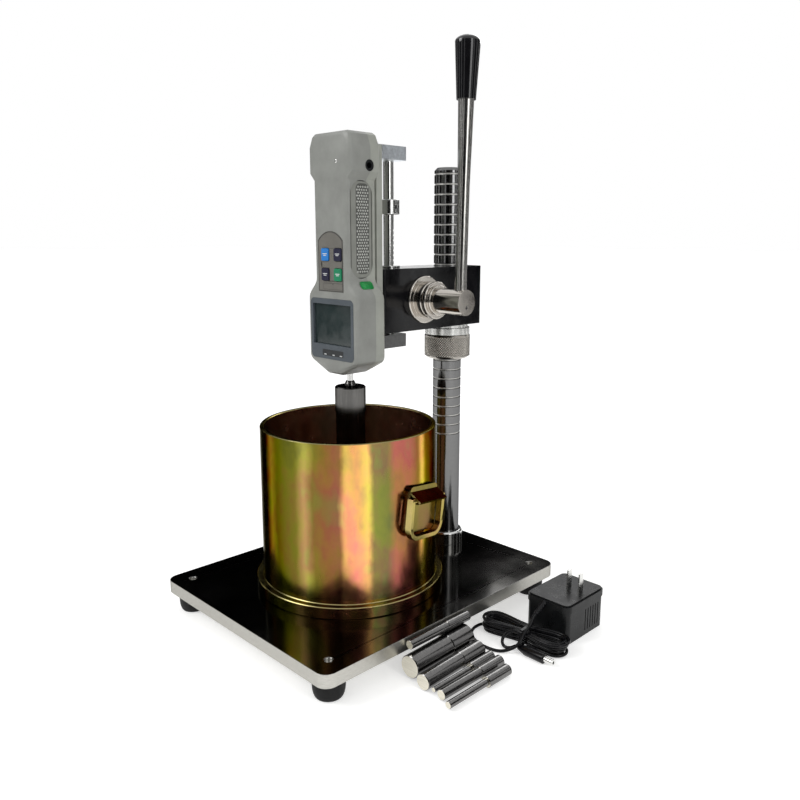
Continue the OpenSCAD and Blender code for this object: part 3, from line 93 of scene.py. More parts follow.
def link(name, data):
    obj = bpy.data.objects.new(name, data)
    bpy.context.scene.collection.objects.link(obj)
    return obj


def new_object(name, verts, faces):
    mesh = bpy.data.meshes.new(name)
    mesh.from_pydata([tuple(v) for v in verts], [], faces)
    mesh.validate()
    mesh.update()
    shade_smooth(mesh)
    return link(name, mesh)


def from_bmesh(name, bm, smooth=True):
    bmesh.ops.recalc_face_normals(bm, faces=bm.faces)
    mesh = bpy.data.meshes.new(name)
    bm.to_mesh(mesh)
    bm.free()
    if smooth:
        shade_smooth(mesh)
    return link(name, mesh)


def edges(obj, width):
    """Small rounded edges with level faces, their width in millimetres."""
    mod = obj.modifiers.new("edges", "BEVEL")
    mod.width = width * MM
    mod.segments = EDGE_SEGMENTS
    mod.limit_method = "ANGLE"
    mod.angle_limit = math.radians(EDGE_ANGLE)
    mod.harden_normals = True


def lathe(name, profile, place, sides, closed=False):
    """Revolves (radius, height) points, in millimetres, about local Z; place is a matrix in metres."""
    verts, faces = [], []
    n = len(profile)
    for i in range(sides):
        a = 2 * math.pi * i / sides
        for r, h in profile:
            verts.append(place @ Vector((r * math.cos(a) * MM, r * math.sin(a) * MM, h * MM)))
    for i in range(sides):
        j = (i + 1) % sides
        for k in range(n if closed else n - 1):
            q = (k + 1) % n
            faces.append((i * n + k, j * n + k, j * n + q, i * n + q))
    obj = new_object(name, verts, faces)
    bm = bmesh.new()
    bm.from_mesh(obj.data)
    bmesh.ops.remove_doubles(bm, verts=bm.verts, dist=MERGE)
    bmesh.ops.recalc_face_normals(bm, faces=bm.faces)
    bm.to_mesh(obj.data)
    bm.free()
    shade_smooth(obj.data)
    return obj


def frame_matrix(origin, z_axis):
    """A place with its Z along a level axis and its X upright."""
    z = Vector(z_axis).normalized()
    x = Vector((0, 0, 1))
    x = (x - z * x.dot(z)).normalized()
    y = z.cross(x)
    m = Matrix((x, y, z)).transposed().to_4x4()
    m.translation = origin
    return m


# ---------------------------------------------------------------- cord
# Points in millimetres: from the charger's relief to the hank, and from the hank to the plug
LEAD = [
    (174.1, 54, 27.3), (173.93, 51.85, 26), (174.2, 49, 23.4), (174.6, 45.6, 20),
    (174.9, 42.4, 17.8), (175.2, 39, 16.9), (175.9, 35.6, 15.6), (176.6, 32.2, 13.9),
    (176.9, 29.2, 11.7), (176.6, 26.4, 9.4), (175.2, 23.6, 6.9), (172.6, 21.2, 4.9),
    (169.4, 18.6, 3.0), (165.4, 15.6, 1.9), (160.6, 13.2, 1.6), (155, 11.9, 1.6),
    (149, 11.6, 1.6), (143, 12.2, 1.6), (137, 13.8, 1.6), (131.2, 16.7, 1.6),
    (126.2, 20.8, 1.6), (122.6, 25.6, 1.6), (120.6, 30.6, 1.6), (120.2, 35.4, 1.8),
    (121, 39.2, 2.2),
]
PLUG_LEAD = [
    (162.8, 36.7, 12.9), (159.4, 34.6, 11.6), (157.3, 31.8, 9.2), (156.9, 28.8, 6.2),
    (158.4, 26, 3.7), (161.6, 24.2, 2.2), (165.4, 24.1, 1.9), (168.6, 25.6, 2.6),
    (170.8, 27.5, 3.8), (172.8, 28.4, 4.7),
]
PLUG_AT = (175.4, 28.4, 4.7)
CORD_D, CORD_SIDES = 3.0, 14
# The hank: loops side by side in lanes, in layers that wind inwards and outwards by turns.
# CLIMBS are the turns at which the cord goes up a layer.
HANK_AT, HANK_TURN, HANK_END = (167, 47), 6, 32.3
LANE_R, LANE_PITCH, LAYER_H, HANK_LIFT, WAIST_IN = 12.2, 3.55, 3.5, 1.0, 4.1
HANK_TURNS, LOOP_RINGS, END_SHARE, CLIMB_SHARE = 6.75, 24, 0.2, 0.3
CLIMBS = (1.75, 3.25, 4.75)


def lane(t):
    """The radius of a loop's end after t turns."""
    a, b, c = CLIMBS
    if t < a:
        return LANE_R - LANE_PITCH * t
    if t < b:
        return LANE_R - LANE_PITCH * (2 * a - t)
    if t < c:
        return LANE_R - LANE_PITCH * (2 * a - 2 * b + t)
    return LANE_R - LANE_PITCH * (2 * a - 2 * b + 2 * c - t)


def hank_point(t):
    """The middle of the cord after t turns of the hank."""
    r = lane(t)
    p = t - math.floor(t + END_SHARE / 2)
    run = 0.5 - END_SHARE

    def run_y(x):
        return r - WAIST_IN * math.cos(math.pi / 2 * x / HANK_END) ** 2

    if p < END_SHARE / 2:
        a = math.pi * p / END_SHARE
        x, y = -HANK_END - r * math.cos(a), r * math.sin(a)
    elif p < 0.5 - END_SHARE / 2:
        x = HANK_END * (2 * (p - END_SHARE / 2) / run - 1)
        y = run_y(x)
    elif p < 0.5 + END_SHARE / 2:
        a = math.pi * (p - 0.5) / END_SHARE
        x, y = HANK_END + r * math.cos(a), -r * math.sin(a)
    else:
        x = HANK_END * (1 - 2 * (p - 0.5 - END_SHARE / 2) / run)
        y = -run_y(x)
    climbed = sum(min(1, max(0, (t - c) / CLIMB_SHARE + 0.5)) for c in CLIMBS)
    z = HANK_LIFT + CORD_D / 2 + LAYER_H * climbed
    c, s = math.cos(math.radians(HANK_TURN)), math.sin(math.radians(HANK_TURN))
    return (HANK_AT[0] + x * c - y * s, HANK_AT[1] + x * s + y * c, z)


def smooth_path(points, per=3):
    """Catmull-Rom points through the given ones."""
    pts = [Vector(p) for p in points]
    out = []
    for i in range(len(pts) - 1):
        p0, p1 = pts[max(i - 1, 0)], pts[i]
        p2, p3 = pts[i + 1], pts[min(i + 2, len(pts) - 1)]
        for k in range(per):
            t = k / per
            out.append(0.5 * (2 * p1 + (p2 - p0) * t + (2 * p0 - 5 * p1 + 4 * p2 - p3) * t * t
                              + (3 * p1 - p0 - 3 * p2 + p3) * t * t * t))
    out.append(pts[-1])
    return out


def sweep(name, path, radius, sides):
    """A tube along a path, in metres, with caps."""
    verts, faces = [], []
    n = len(path)
    side = None
    for i, p in enumerate(path):
        d = (path[min(i + 1, n - 1)] - path[max(i - 1, 0)]).normalized()
        if side is None:
            side = d.cross(Vector((0, 0, 1))).normalized()
        side = (side - d * side.dot(d)).normalized()
        other = d.cross(side)
        for k in range(sides):
            a = 2 * math.pi * k / sides
            verts.append(p + radius * (math.cos(a) * side + math.sin(a) * other))
    for i in range(n - 1):
        for k in range(sides):
            q = (k + 1) % sides
            faces.append((i * sides + k, i * sides + q, (i + 1) * sides + q, (i + 1) * sides + k))
    faces.append(tuple(range(sides - 1, -1, -1)))
    faces.append(tuple((n - 1) * sides + k for k in range(sides)))
    return new_object(name, verts, faces)


hank_points = [hank_point(i / LOOP_RINGS) for i in range(round(HANK_TURNS * LOOP_RINGS) + 1)]
route = LEAD + hank_points + PLUG_LEAD + [PLUG_AT]
cord_path = [at(*p) for p in smooth_path(route)]
cord = sweep("cord_line", cord_path, CORD_D / 2 * MM, CORD_SIDES)
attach(cord, "stand")
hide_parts("charger_lead", "cord_hank", "plug_lead")


# ---------------------------------------------------------------- materials
WHITE = (1, 1, 1)


class Nodes:
    """A node tree, with short calls for the nodes used here. A value is a socket, a number or a colour."""

    def __init__(self, tree):
        self.nodes, self.links = tree.nodes, tree.links
        self.nodes.clear()

    def add(self, kind):
        return self.nodes.new("ShaderNode" + kind)

    def feed(self, node_input, value):
        """Links a socket to an input, or sets the input's own constant."""
        if isinstance(value, bpy.types.NodeSocket):
            self.links.new(value, node_input)
        else:
            node_input.default_value = (*value, 1) if isinstance(value, tuple) else value

    def coords(self, scale=(1, 1, 1)):
        mapping = self.add("Mapping")
        mapping.inputs["Scale"].default_value = scale
        self.links.new(self.add("TexCoord").outputs["Object"], mapping.inputs["Vector"])
        return mapping.outputs["Vector"]

    def noise(self, scale, detail=4, rough=0.55, stretch=(1, 1, 1)):
        node = self.add("TexNoise")
        node.inputs["Scale"].default_value = scale
        node.inputs["Detail"].default_value = detail
        node.inputs["Roughness"].default_value = rough
        self.links.new(self.coords(stretch), node.inputs["Vector"])
        return node.outputs["Fac"]

    def ramp(self, factor, stops):
        """A colour ramp; a stop is (place, colour) or (place, grey level)."""
        node = self.add("ValToRGB")
        elements = node.color_ramp.elements
        while len(elements) < len(stops):
            elements.new(0.5)
        for element, (place, colour) in zip(elements, stops):
            element.position = place
            element.color = (*colour, 1) if isinstance(colour, tuple) else (colour, colour, colour, 1)
        self.links.new(factor, node.inputs["Fac"])
        return node.outputs["Color"]

    def math(self, operation, *values):
        node = self.add("Math")
        node.operation = operation
        for socket, value in zip(node.inputs, values):
            self.feed(socket, value)
        return node.outputs[0]

    def mix(self, factor, a, b, blend="MIX"):
        """Mixes two colours."""
        node = self.add("Mix")
        node.data_type = "RGBA"
        node.blend_type = blend
        for i, value in ((0, factor), (6, a), (7, b)):
            self.feed(node.inputs[i], value)
        return node.outputs[2]

    def mix_value(self, factor, a, b):
        """Mixes two numbers."""
        node = self.add("Mix")
        node.data_type = "FLOAT"
        for i, value in ((0, factor), (2, a), (3, b)):
            self.feed(node.inputs[i], value)
        return node.outputs[0]

    def split(self, vector):
        node = self.add("SeparateXYZ")
        self.links.new(vector, node.inputs[0])
        return node.outputs["X"], node.outputs["Y"], node.outputs["Z"]


class Shader(Nodes):
    """A material with one Principled shader."""

    def __init__(self, name):
        self.material = bpy.data.materials.new(name)
        self.material.use_nodes = True
        super().__init__(self.material.node_tree)
        out = self.add("OutputMaterial")
        self.bsdf = self.add("BsdfPrincipled")
        self.links.new(self.bsdf.outputs[0], out.inputs[0])

    def set(self, **values):
        """Feeds the shader's inputs by name: base_color is its Base Color."""
        for key, value in values.items():
            title = key.replace("_", " ").title().replace("Ior", "IOR")
            self.feed(self.bsdf.inputs[title], value)

    def bump(self, height, strength, distance):
        node = self.add("Bump")
        node.inputs["Strength"].default_value = strength
        node.inputs["Distance"].default_value = distance
        self.links.new(height, node.inputs["Height"])
        self.links.new(node.outputs["Normal"], self.bsdf.inputs["Normal"])


def around(colour, spread):
    """The colour made darker and lighter by a share."""
    return tuple(c * (1 - spread) for c in colour), tuple(min(1, c * (1 + spread)) for c in colour)


def plastic(name, colour, rough=0.45, grain=2600, depth=0.00003, spread=0.10, coat=0.0, gloss=0.4):
    """Moulded plastic: a fine grain, faint cloudiness and worn gloss."""
    t = Shader(name)
    low, high = around(colour, spread)
    t.set(base_color=t.ramp(t.noise(55, 3), [(0.3, low), (0.7, high)]),
          roughness=t.ramp(t.noise(120, 3), [(0.3, rough - 0.06), (0.7, rough + 0.07)]),
          specular_ior_level=gloss, coat_weight=coat, coat_roughness=0.12)
    t.bump(t.noise(grain, 2), 0.35, depth)
    return t.material


def steel(name, colour, rough=0.24, stretch=(1, 1, 40), scale=160, depth=0.00001, spread=0.14, tint=None):
    """Turned or ground steel: fine lines across the stretch axis, cloudy gloss."""
    t = Shader(name)
    lines = t.noise(scale, 3, 0.7, stretch)
    mixed = t.mix_value(0.5, lines, t.noise(38, 3))
    low, high = around(colour, spread)
    t.set(metallic=1, base_color=t.ramp(mixed, [(0.32, low), (0.68, high)]),
          roughness=t.ramp(mixed, [(0.3, rough * 0.75), (0.7, rough * 1.3)]))
    if tint:
        t.set(specular_tint=tint)
    t.bump(lines, 0.25, depth)
    return t.material


PLATE_TOP, FIRST_GROOVE, GROOVE_PITCH, GROOVE_WIDTH = 31.3, 125.9, 10, 1.1


def column_material():
    """Dark hard chrome with a bright line painted in each ring groove: a painted highlight on the groove's
    lip.
    """
    t = Shader("ringed_chrome")
    height = t.split(t.add("TexCoord").outputs["Object"])[2]
    z = t.math("SUBTRACT", height, (PLATE_TOP + FIRST_GROOVE - GROOVE_PITCH / 2) * MM)
    # ring marks the groove bands; the bright colour put there is a painted highlight on each groove's lip
    ring = t.math("GREATER_THAN", t.math("PINGPONG", z, GROOVE_PITCH / 2 * MM),
                  (GROOVE_PITCH - GROOVE_WIDTH) / 2 * MM)
    ring = t.math("MULTIPLY", ring, t.math("GREATER_THAN", z, 0))
    lines = t.noise(160, 3, 0.7, (1, 1, 40))
    chrome = t.ramp(lines, [(0.3, (0.15, 0.15, 0.152)), (0.7, (0.19, 0.19, 0.188))])
    t.set(metallic=1, specular_tint=(0.45, 0.45, 0.46), base_color=t.mix(ring, chrome, (0.66, 0.65, 0.62)),
          roughness=t.math("MULTIPLY_ADD", ring, 0.34, 0.14))
    t.bump(lines, 0.2, 0.000008)
    return t.material


def plate_material():
    """Polished steel on the top, painted dark as a painted dark reflection; satin ground steel on the sides.
    """
    t = Shader("polished_plate")
    up = t.math("GREATER_THAN", t.split(t.add("TexCoord").outputs["Normal"])[2], 0.6)
    # the top's dark colour is a painted dark reflection in the polished steel; the sides keep the satin
    # steel's own colour
    top = t.ramp(t.noise(14, 4), [(0.3, (0.115, 0.115, 0.114)), (0.75, (0.175, 0.171, 0.162))])
    side = t.ramp(t.noise(60, 3, stretch=(4, 4, 90)), [(0.3, (0.42, 0.41, 0.38)), (0.7, (0.60, 0.59, 0.55))])
    t.set(metallic=1, specular_tint=(0.34, 0.34, 0.34), base_color=t.mix(up, side, top),
          roughness=t.mix_value(up, 0.36, t.ramp(t.noise(22, 3), [(0.3, 0.07), (0.8, 0.15)])))
    return t.material


def needle_material():
    """Dark hardened steel, with a pale painted highlight on its end faces and steps."""
    t = Shader("needle_steel")
    across = t.split(t.add("NewGeometry").outputs["True Normal"])[1]
    # faces across the needle, its ends and steps, take a pale colour: a painted highlight
    end_highlight = t.math("GREATER_THAN", t.math("ABSOLUTE", across), 0.9)
    lines = t.noise(160, 3, 0.6, (0.3, 6, 6))
    t.set(metallic=1, roughness=t.ramp(lines, [(0.3, 0.12), (0.7, 0.20)]),
          base_color=t.mix(end_highlight, t.ramp(lines, [(0.3, (0.12, 0.12, 0.12)), (0.7, (0.19, 0.185, 0.18))]),
                           t.ramp(lines, [(0.3, (0.62, 0.59, 0.50)), (0.7, (0.74, 0.71, 0.62))])))
    t.bump(lines, 0.2, 0.000008)
    return t.material


# The bands round the mould's wall: degrees about its axis, and colour. Most are the plating's own colours;
# some, such as the bright gold line at 12 degrees and the pale streaks, are painted reflections.
WALL_BANDS_AND_REFLECTIONS = [
    (-180, (0.10, 0.085, 0.025)), (-150, (0.17, 0.14, 0.035)), (-128, (0.07, 0.065, 0.018)),
    (-104, (0.07, 0.070, 0.018)), (-97, (0.26, 0.23, 0.09)), (-91, (0.10, 0.095, 0.022)),
    (-75, (0.16, 0.145, 0.035)), (-68, (0.42, 0.37, 0.15)), (-62, (0.20, 0.16, 0.045)),
    (-54, (0.24, 0.13, 0.060)), (-46, (0.26, 0.13, 0.085)), (-43, (0.80, 0.52, 0.24)),
    (-36, (0.92, 0.42, 0.33)), (-29, (0.84, 0.66, 0.24)), (-26, (0.24, 0.25, 0.10)),
    (-17, (0.20, 0.20, 0.10)), (-11, (0.40, 0.17, 0.14)), (1, (0.38, 0.155, 0.13)),
    (8, (0.24, 0.17, 0.055)), (12, (0.92, 0.72, 0.24)), (16, (0.22, 0.165, 0.045)),
    (45, (0.12, 0.095, 0.025)), (80, (0.26, 0.15, 0.075)), (110, (0.13, 0.12, 0.03)),
    (140, (0.32, 0.23, 0.09)), (165, (0.12, 0.105, 0.03)), (180, (0.10, 0.085, 0.025)),
]
MOULD_Y = -19.35


class Zinc(Shader):
    """Yellow zinc plating: patches of olive, gold and rose over a base colour."""

    def __init__(self, name, edge_tint):
        super().__init__(name)
        self.patches = self.noise(22, 4, 0.6, (1, 1, 0.55))
        self.small = self.noise(60, 4, 0.6, (1, 1, 0.8))
        self.cloud = self.ramp(self.patches, [
            (0.30, (0.55, 0.62, 0.34)), (0.42, (0.86, 0.92, 0.30)), (0.49, (1.0, 0.80, 0.46)),
            (0.56, (1.0, 0.58, 0.56)), (0.66, (0.78, 0.96, 0.50))])
        self.set(metallic=1, specular_tint=edge_tint,
                 roughness=self.ramp(self.small, [(0.3, 0.15), (0.7, 0.28)]))
        self.bump(self.noise(120, 3, 0.6, (1, 1, 0.03)), 0.15, 0.00002)

    def sway(self, source, amount):
        """A small shift of the bands that follows a noise."""
        return self.math("MULTIPLY", self.math("SUBTRACT", source, 0.5), amount)


def wall_zinc():
    """The mould: bands run down the outer wall, partly the plating's own colours and partly painted
    reflections; brown inside, gold on the rims.
    """
    t = Zinc("yellow_zinc", (0.14, 0.13, 0.07))
    tex = t.add("TexCoord")
    px, py, _ = t.split(tex.outputs["Object"])
    x = t.math("SUBTRACT", px, -ORIGIN_X * MM)
    y = t.math("SUBTRACT", py, MOULD_Y * MM)
    turn = t.math("ADD", t.math("DIVIDE", t.math("ARCTAN2", y, x), 2 * math.pi), 0.5)
    turn = t.math("ADD", turn, t.sway(t.small, 0.007))
    turn = t.math("ADD", turn, t.sway(t.patches, 0.02))
    # the wall bands hold the plating's colours together with painted reflections
    wall = t.ramp(turn, [((angle + 180) / 360, colour) for angle, colour in WALL_BANDS_AND_REFLECTIONS])
    outer = t.mix(0.85, wall, t.cloud, "MULTIPLY")
    nx, ny, nz = t.split(tex.outputs["Normal"])
    radial = t.math("ADD", t.math("MULTIPLY", nx, x), t.math("MULTIPLY", ny, y))
    brown = t.ramp(t.patches, [(0.35, (0.50, 0.40, 0.26)), (0.5, (0.62, 0.38, 0.26)),
                               (0.65, (0.58, 0.30, 0.28))])
    gold = t.ramp(t.patches, [(0.3, (0.22, 0.20, 0.09)), (0.7, (0.34, 0.28, 0.13))])
    sides = t.mix(t.math("LESS_THAN", radial, -0.01), outer, brown)
    t.set(base_color=t.mix(t.math("GREATER_THAN", nz, 0.6), sides, gold))
    return t.material


def handle_zinc(name, tone, up_shade=1.0):
    """Handles: brassy where they face sideways or down, with painted shade darkening them where they face up.
    """
    t = Zinc(name, (0.12, 0.10, 0.08))
    nz = t.split(t.add("TexCoord").outputs["Normal"])[2]
    dark = tone * up_shade
    # faces that look up are painted darker: painted shade
    slope = t.ramp(t.math("MULTIPLY_ADD", nz, 0.5, 0.5),
                   [(0.56, (tone, tone * 0.80, tone * 0.40)), (0.60, (dark, dark * 0.6, dark * 0.4))])
    t.set(base_color=t.mix(0.5, slope, t.cloud, "MULTIPLY"))
    return t.material


EVEN = (1, 1, 1)
MATS = {
    "turned": steel("turned_steel", (0.58, 0.58, 0.57), 0.15, spread=0.06),
    "turned_x": steel("turned_steel_shaft", (0.50, 0.47, 0.43), 0.13, (40, 1, 1)),
    "ground_z": steel("ground_steel_upright", (0.115, 0.112, 0.108), 0.14, (6, 6, 0.3), spread=0.30,
                      tint=(0.3, 0.3, 0.3)),
    "rod": steel("satin_rod", (0.46, 0.45, 0.43), 0.20, (6, 6, 0.2)),
    "dark_steel": steel("blackened_steel", (0.09, 0.09, 0.09), 0.4),
    "knurled": steel("knurled_steel", (0.34, 0.32, 0.29), 0.16, EVEN, 300),
    "blue_zinc": steel("blue_zinc", (0.66, 0.70, 0.74), 0.34, EVEN, 420, 0.00004, 0.30),
    "dark_zinc": steel("dark_zinc", (0.13, 0.13, 0.13), 0.36, EVEN, 420, 0.00004, 0.30),
    "bronze": steel("bronze", (0.55, 0.36, 0.16), 0.35),
    "contact": steel("nickel", (0.74, 0.74, 0.72), 0.24, EVEN, 200),
    "housing": plastic("gauge_housing", (0.262, 0.268, 0.250), 0.38),
    "housing_rear": plastic("gauge_rear", (0.325, 0.335, 0.300), 0.40),
    "grip": plastic("grip_panel", (0.225, 0.230, 0.208), 0.46),
    "grip_dots": plastic("grip_dots", (0.46, 0.47, 0.44), 0.36),
    "seam": plastic("seam_shadow", (0.085, 0.087, 0.080), 0.6),
    "panel": plastic("panel_film", (0.070, 0.084, 0.098), 0.42, 1800),
    "keypad": plastic("keypad_film", (0.150, 0.143, 0.126), 0.42, 1800),
    "rim": plastic("keypad_rim", (0.060, 0.058, 0.052), 0.45, 1800),
    "window": plastic("display_glass", (0.024, 0.036, 0.036), 0.12, 900, 0.000004, 0.16, 0.35),
    "strip": plastic("indicator_film", (0.010, 0.012, 0.014), 0.3, 900, 0.000004, 0.2),
    "blue_key": plastic("key_blue_cap", (0.02, 0.20, 0.60), 0.35),
    "dark_key": plastic("key_dark_cap", (0.014, 0.014, 0.040), 0.35),
    "green_key": plastic("key_green_cap", (0.01, 0.22, 0.10), 0.35),
    "mark": plastic("key_mark", (0.66, 0.68, 0.68), 0.5),
    "sticker": plastic("green_sticker", (0.004, 0.26, 0.05), 0.35),
    "black_plastic": plastic("black_plastic", (0.010, 0.011, 0.012), 0.38, 1500, 0.00005, 0.3, 0, 0.2),
    "charger": plastic("charger_plastic", (0.006, 0.0065, 0.007), 0.30, 1100, 0.00007, 0.35, 0, 0.22),
    "grip_black": plastic("black_gloss", (0.006, 0.006, 0.007), 0.12, 300, 0.00001, 0.3, 0.4, 0.3),
    "black_paint": plastic("black_paint", (0.004, 0.004, 0.005), 0.18, 420, 0.00002, 0.4, 0.25, 0.2),
    "rubber": plastic("black_rubber", (0.012, 0.012, 0.012), 0.62, 900, 0.00006, 0.3, 0, 0.2),
    "cord": plastic("cord_sheath", (0.004, 0.004, 0.005), 0.24, 700, 0.00003, 0.3, 0, 0.2),
    "board": plastic("board_green", (0.02, 0.12, 0.05), 0.4),
    "cell": plastic("cell_sleeve", (0.45, 0.12, 0.03), 0.4),
    "plate": plate_material(),
    "zinc": wall_zinc(),
    "zinc_plate": handle_zinc("yellow_zinc_handles", 0.26, 0.16),
    "zinc_bail": handle_zinc("yellow_zinc_bails", 0.50),
    "column": column_material(),
    "ground": needle_material(),
}

MAT_NODES = {
    "plate": "base_plate", "column": "column", "knurled": "lock_nut", "rod": "lever_rod",
    "grip_black": "lever_grip", "black_paint": "arm_housing", "bronze": "shaft_bushes",
    "rubber": "rubber_feet", "blue_zinc": "top_bracket", "dark_zinc": "lower_bracket",
    "turned": "foot_studs column_base_ring rack_bushes rack_bar stop_collar load_spindle",
    "turned_x": "bearing_boss pinion_shaft pinion_gear lever_collar",
    "ground_z": "cone_nut mounted_needle load_cell",
    "dark_steel": "bracket_screws stop_screw",
    "contact": "support_ring charger_blades dc_plug_barrel",
    "housing": "gauge_front_shell", "housing_rear": "gauge_rear_shell back_plate",
    "grip": "side_grips", "panel": "display_bezel", "window": "display_window",
    "keypad": "keypad_panel", "blue_key": "key_blue", "dark_key": "key_upper_dark key_lower_dark",
    "green_key": "key_green", "black_plastic": "charger_socket",
    "board": "circuit_board", "cell": "battery_pack",
    "zinc": "mould_bucket", "zinc_plate": "handle_plates", "zinc_bail": "bail_right bail_left",
    "charger": "charger_case charger_lid",
    "cord": "cord_relief charger_lead cord_hank hank_tie plug_lead dc_plug",
    "ground": " ".join("loose_needle_%d" % i for i in range(1, 7)),
}
NODE_MATS = {node: key for key, nodes in MAT_NODES.items() for node in nodes.split()}


def paint(obj, key):
    obj.data.materials.clear()
    obj.data.materials.append(MATS[key])


def finish_node(obj, width):
    """Level faces and small rounded edges on a solid from the construction."""
    mesh = obj.data
    if "custom_normal" in mesh.attributes:
        mesh.attributes.remove(mesh.attributes["custom_normal"])
    shade_smooth(mesh)
    weld = obj.modifiers.new("weld", "WELD")
    weld.merge_threshold = WELD
    edges(obj, width)


EDGE_WIDTH = 0.35
# Narrower edges, where a detail is small or two pieces lie close
EDGE_WIDTHS = {"rack_bar": 0.05, "pinion_gear": 0.05, "lock_nut": 0.1, "side_grips": 0.08,
               "hank_tie": 0.15, "cord_relief": 0.2, "column": 0.25, "display_window": 0.1}
for node_name, node_obj in NODES.items():
    paint(node_obj, NODE_MATS[node_name])
    finish_node(node_obj, EDGE_WIDTHS.get(node_name, EDGE_WIDTH))
paint(cord, "cord")


# ---------------------------------------------------------------- stage and light
FLOOR_SIZE, FLOOR_GLOW, WORLD_LIGHT, WORLD_SEEN = 40, 0.46, 0.62, 1.0
CENTRE = (0, 0, 0.25)


def make_stage():
    """A pale floor that keeps its shadow, and a white surround for the camera and for reflections."""
    bpy.ops.mesh.primitive_plane_add(size=FLOOR_SIZE, location=(0, 0, 0))
    floor = bpy.context.active_object
    floor.name = "floor"
    t = Shader("pale_floor")
    ray = t.add("LightPath").outputs
    seen = t.math("MAXIMUM", ray["Is Camera Ray"], ray["Is Glossy Ray"])
    t.set(base_color=(0.88, 0.88, 0.87), roughness=0.7, specular_ior_level=0.1, emission_color=WHITE,
          emission_strength=t.math("MULTIPLY", seen, FLOOR_GLOW))
    floor.data.materials.append(t.material)

    world = bpy.data.worlds.new("studio")
    bpy.context.scene.world = world
    world.use_nodes = True
    w = Nodes(world.node_tree)
    out = w.add("OutputWorld")
    mix = w.add("MixShader")
    ray = w.add("LightPath").outputs
    seen = w.math("MAXIMUM", ray["Is Camera Ray"], ray["Is Glossy Ray"])
    w.feed(mix.inputs[0], w.math("MAXIMUM", seen, ray["Is Transmission Ray"]))
    for i, strength in ((1, WORLD_LIGHT), (2, WORLD_SEEN)):
        sky = w.add("Background")
        w.feed(sky.inputs["Color"], WHITE)
        w.feed(sky.inputs["Strength"], strength)
        w.feed(mix.inputs[i], sky.outputs[0])
    w.feed(out.inputs[0], mix.outputs[0])


def facing(place, target):
    return (Vector(target) - Vector(place)).to_track_quat("-Z", "Y").to_euler()


def area_light(name, place, size, power):
    data = bpy.data.lights.new(name, "AREA")
    data.shape = "RECTANGLE"
    data.size, data.size_y = size
    data.energy = power
    lamp = link(name, data)
    lamp.location = place
    lamp.rotation_euler = facing(place, CENTRE)


def dark_card(name, place, target, width, height):
    """A black card that only reflections see, as beside a studio camera."""
    bpy.ops.mesh.primitive_plane_add(size=1)
    card = bpy.context.active_object
    card.name = name
    card.scale = (width, height, 1)
    card.location = place
    card.rotation_euler = facing(place, target)
    t = Shader(name)
    t.set(base_color=(0.004, 0.004, 0.004), roughness=1, specular_ior_level=0)
    card.data.materials.append(t.material)
    card.visible_camera = False
    card.visible_diffuse = False
    card.visible_shadow = False


make_stage()
area_light("key", (-0.9, -1.5, 1.5), (0.9, 0.9), 16)
area_light("fill", (1.7, -0.2, 0.9), (0.5, 1.2), 7)
area_light("rim", (-0.6, 1.6, 1.2), (1.0, 0.6), 7)
back = -Vector((VIEW.x, VIEW.y, 0)).normalized()
side = Vector((back.y, -back.x, 0))
dark_card("card_camera", back * 1.5 + Vector((0, 0, 0.6)), CENTRE, 1.5, 1.4)
# A ring of cards round the object, open towards the camera
RING_CARDS, RING_R, RING_Z, RING_W, RING_H, RING_SPAN = 12, 2.0, 0.75, 0.80, 1.5, 2.75
for i in range(RING_CARDS):
    turn = 2 * math.pi * (i + 0.5) / RING_CARDS
    if abs(turn - math.pi) > RING_SPAN:
        continue
    spot = (back * math.cos(turn) + side * math.sin(turn)) * RING_R
    dark_card("card_%d" % i, spot + Vector((0, 0, RING_Z)), (0, 0, RING_Z), RING_W, RING_H)


# ---------------------------------------------------------------- gauge details
GAUGE_FRONT = -37.3


def plate_between(name, low, high, key, body, width):
    """A plate between two outlines, given as points in the stand's frame. A width of 0 leaves sharp edges."""
    bm = bmesh.new()
    a = [bm.verts.new(at(*p)) for p in low]
    b = [bm.verts.new(at(*p)) for p in high]
    bm.faces.new(a)
    bm.faces.new(b)
    n = len(a)
    for i in range(n):
        j = (i + 1) % n
        bm.faces.new((a[i], a[j], b[j], b[i]))
    obj = from_bmesh(name, bm)
    if width:
        edges(obj, width)
    paint(obj, key)
    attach(obj, body)
    return obj


def slab(name, outline, far, near, key, body="slide", width=0.1):
    """A plate before the gauge's front, its outline given as (x, z) points, between two distances from it."""
    return plate_between(name, [(x, GAUGE_FRONT - far, z) for x, z in outline],
                         [(x, GAUGE_FRONT - near, z) for x, z in outline], key, body, width)


def rect(x0, x1, z0, z1):
    return [(x0, z0), (x1, z0), (x1, z1), (x0, z1)]


def round_rect(x0, x1, z0, z1, r, n=5):
    pts = []
    centres = ((x1 - r, z1 - r), (x0 + r, z1 - r), (x0 + r, z0 + r), (x1 - r, z0 + r))
    for quarter, (cx, cz) in enumerate(centres):
        for i in range(n + 1):
            a = math.radians(90 * quarter + 90 * i / n)
            pts.append((cx + r * math.cos(a), cz + r * math.sin(a)))
    return pts


THIN = 0.02
slab("indicator_strip", round_rect(-14, 16, 256.4, 262.2, 0.8), 0.45, 0.2, "strip")
for i, x in enumerate((-9.5, 2.5, 13.0)):
    slab("indicator_mark_%d" % i, rect(x - 1.8, x + 1.4, 257.2, 258.1), 0.5, 0.4, "mark", width=THIN)

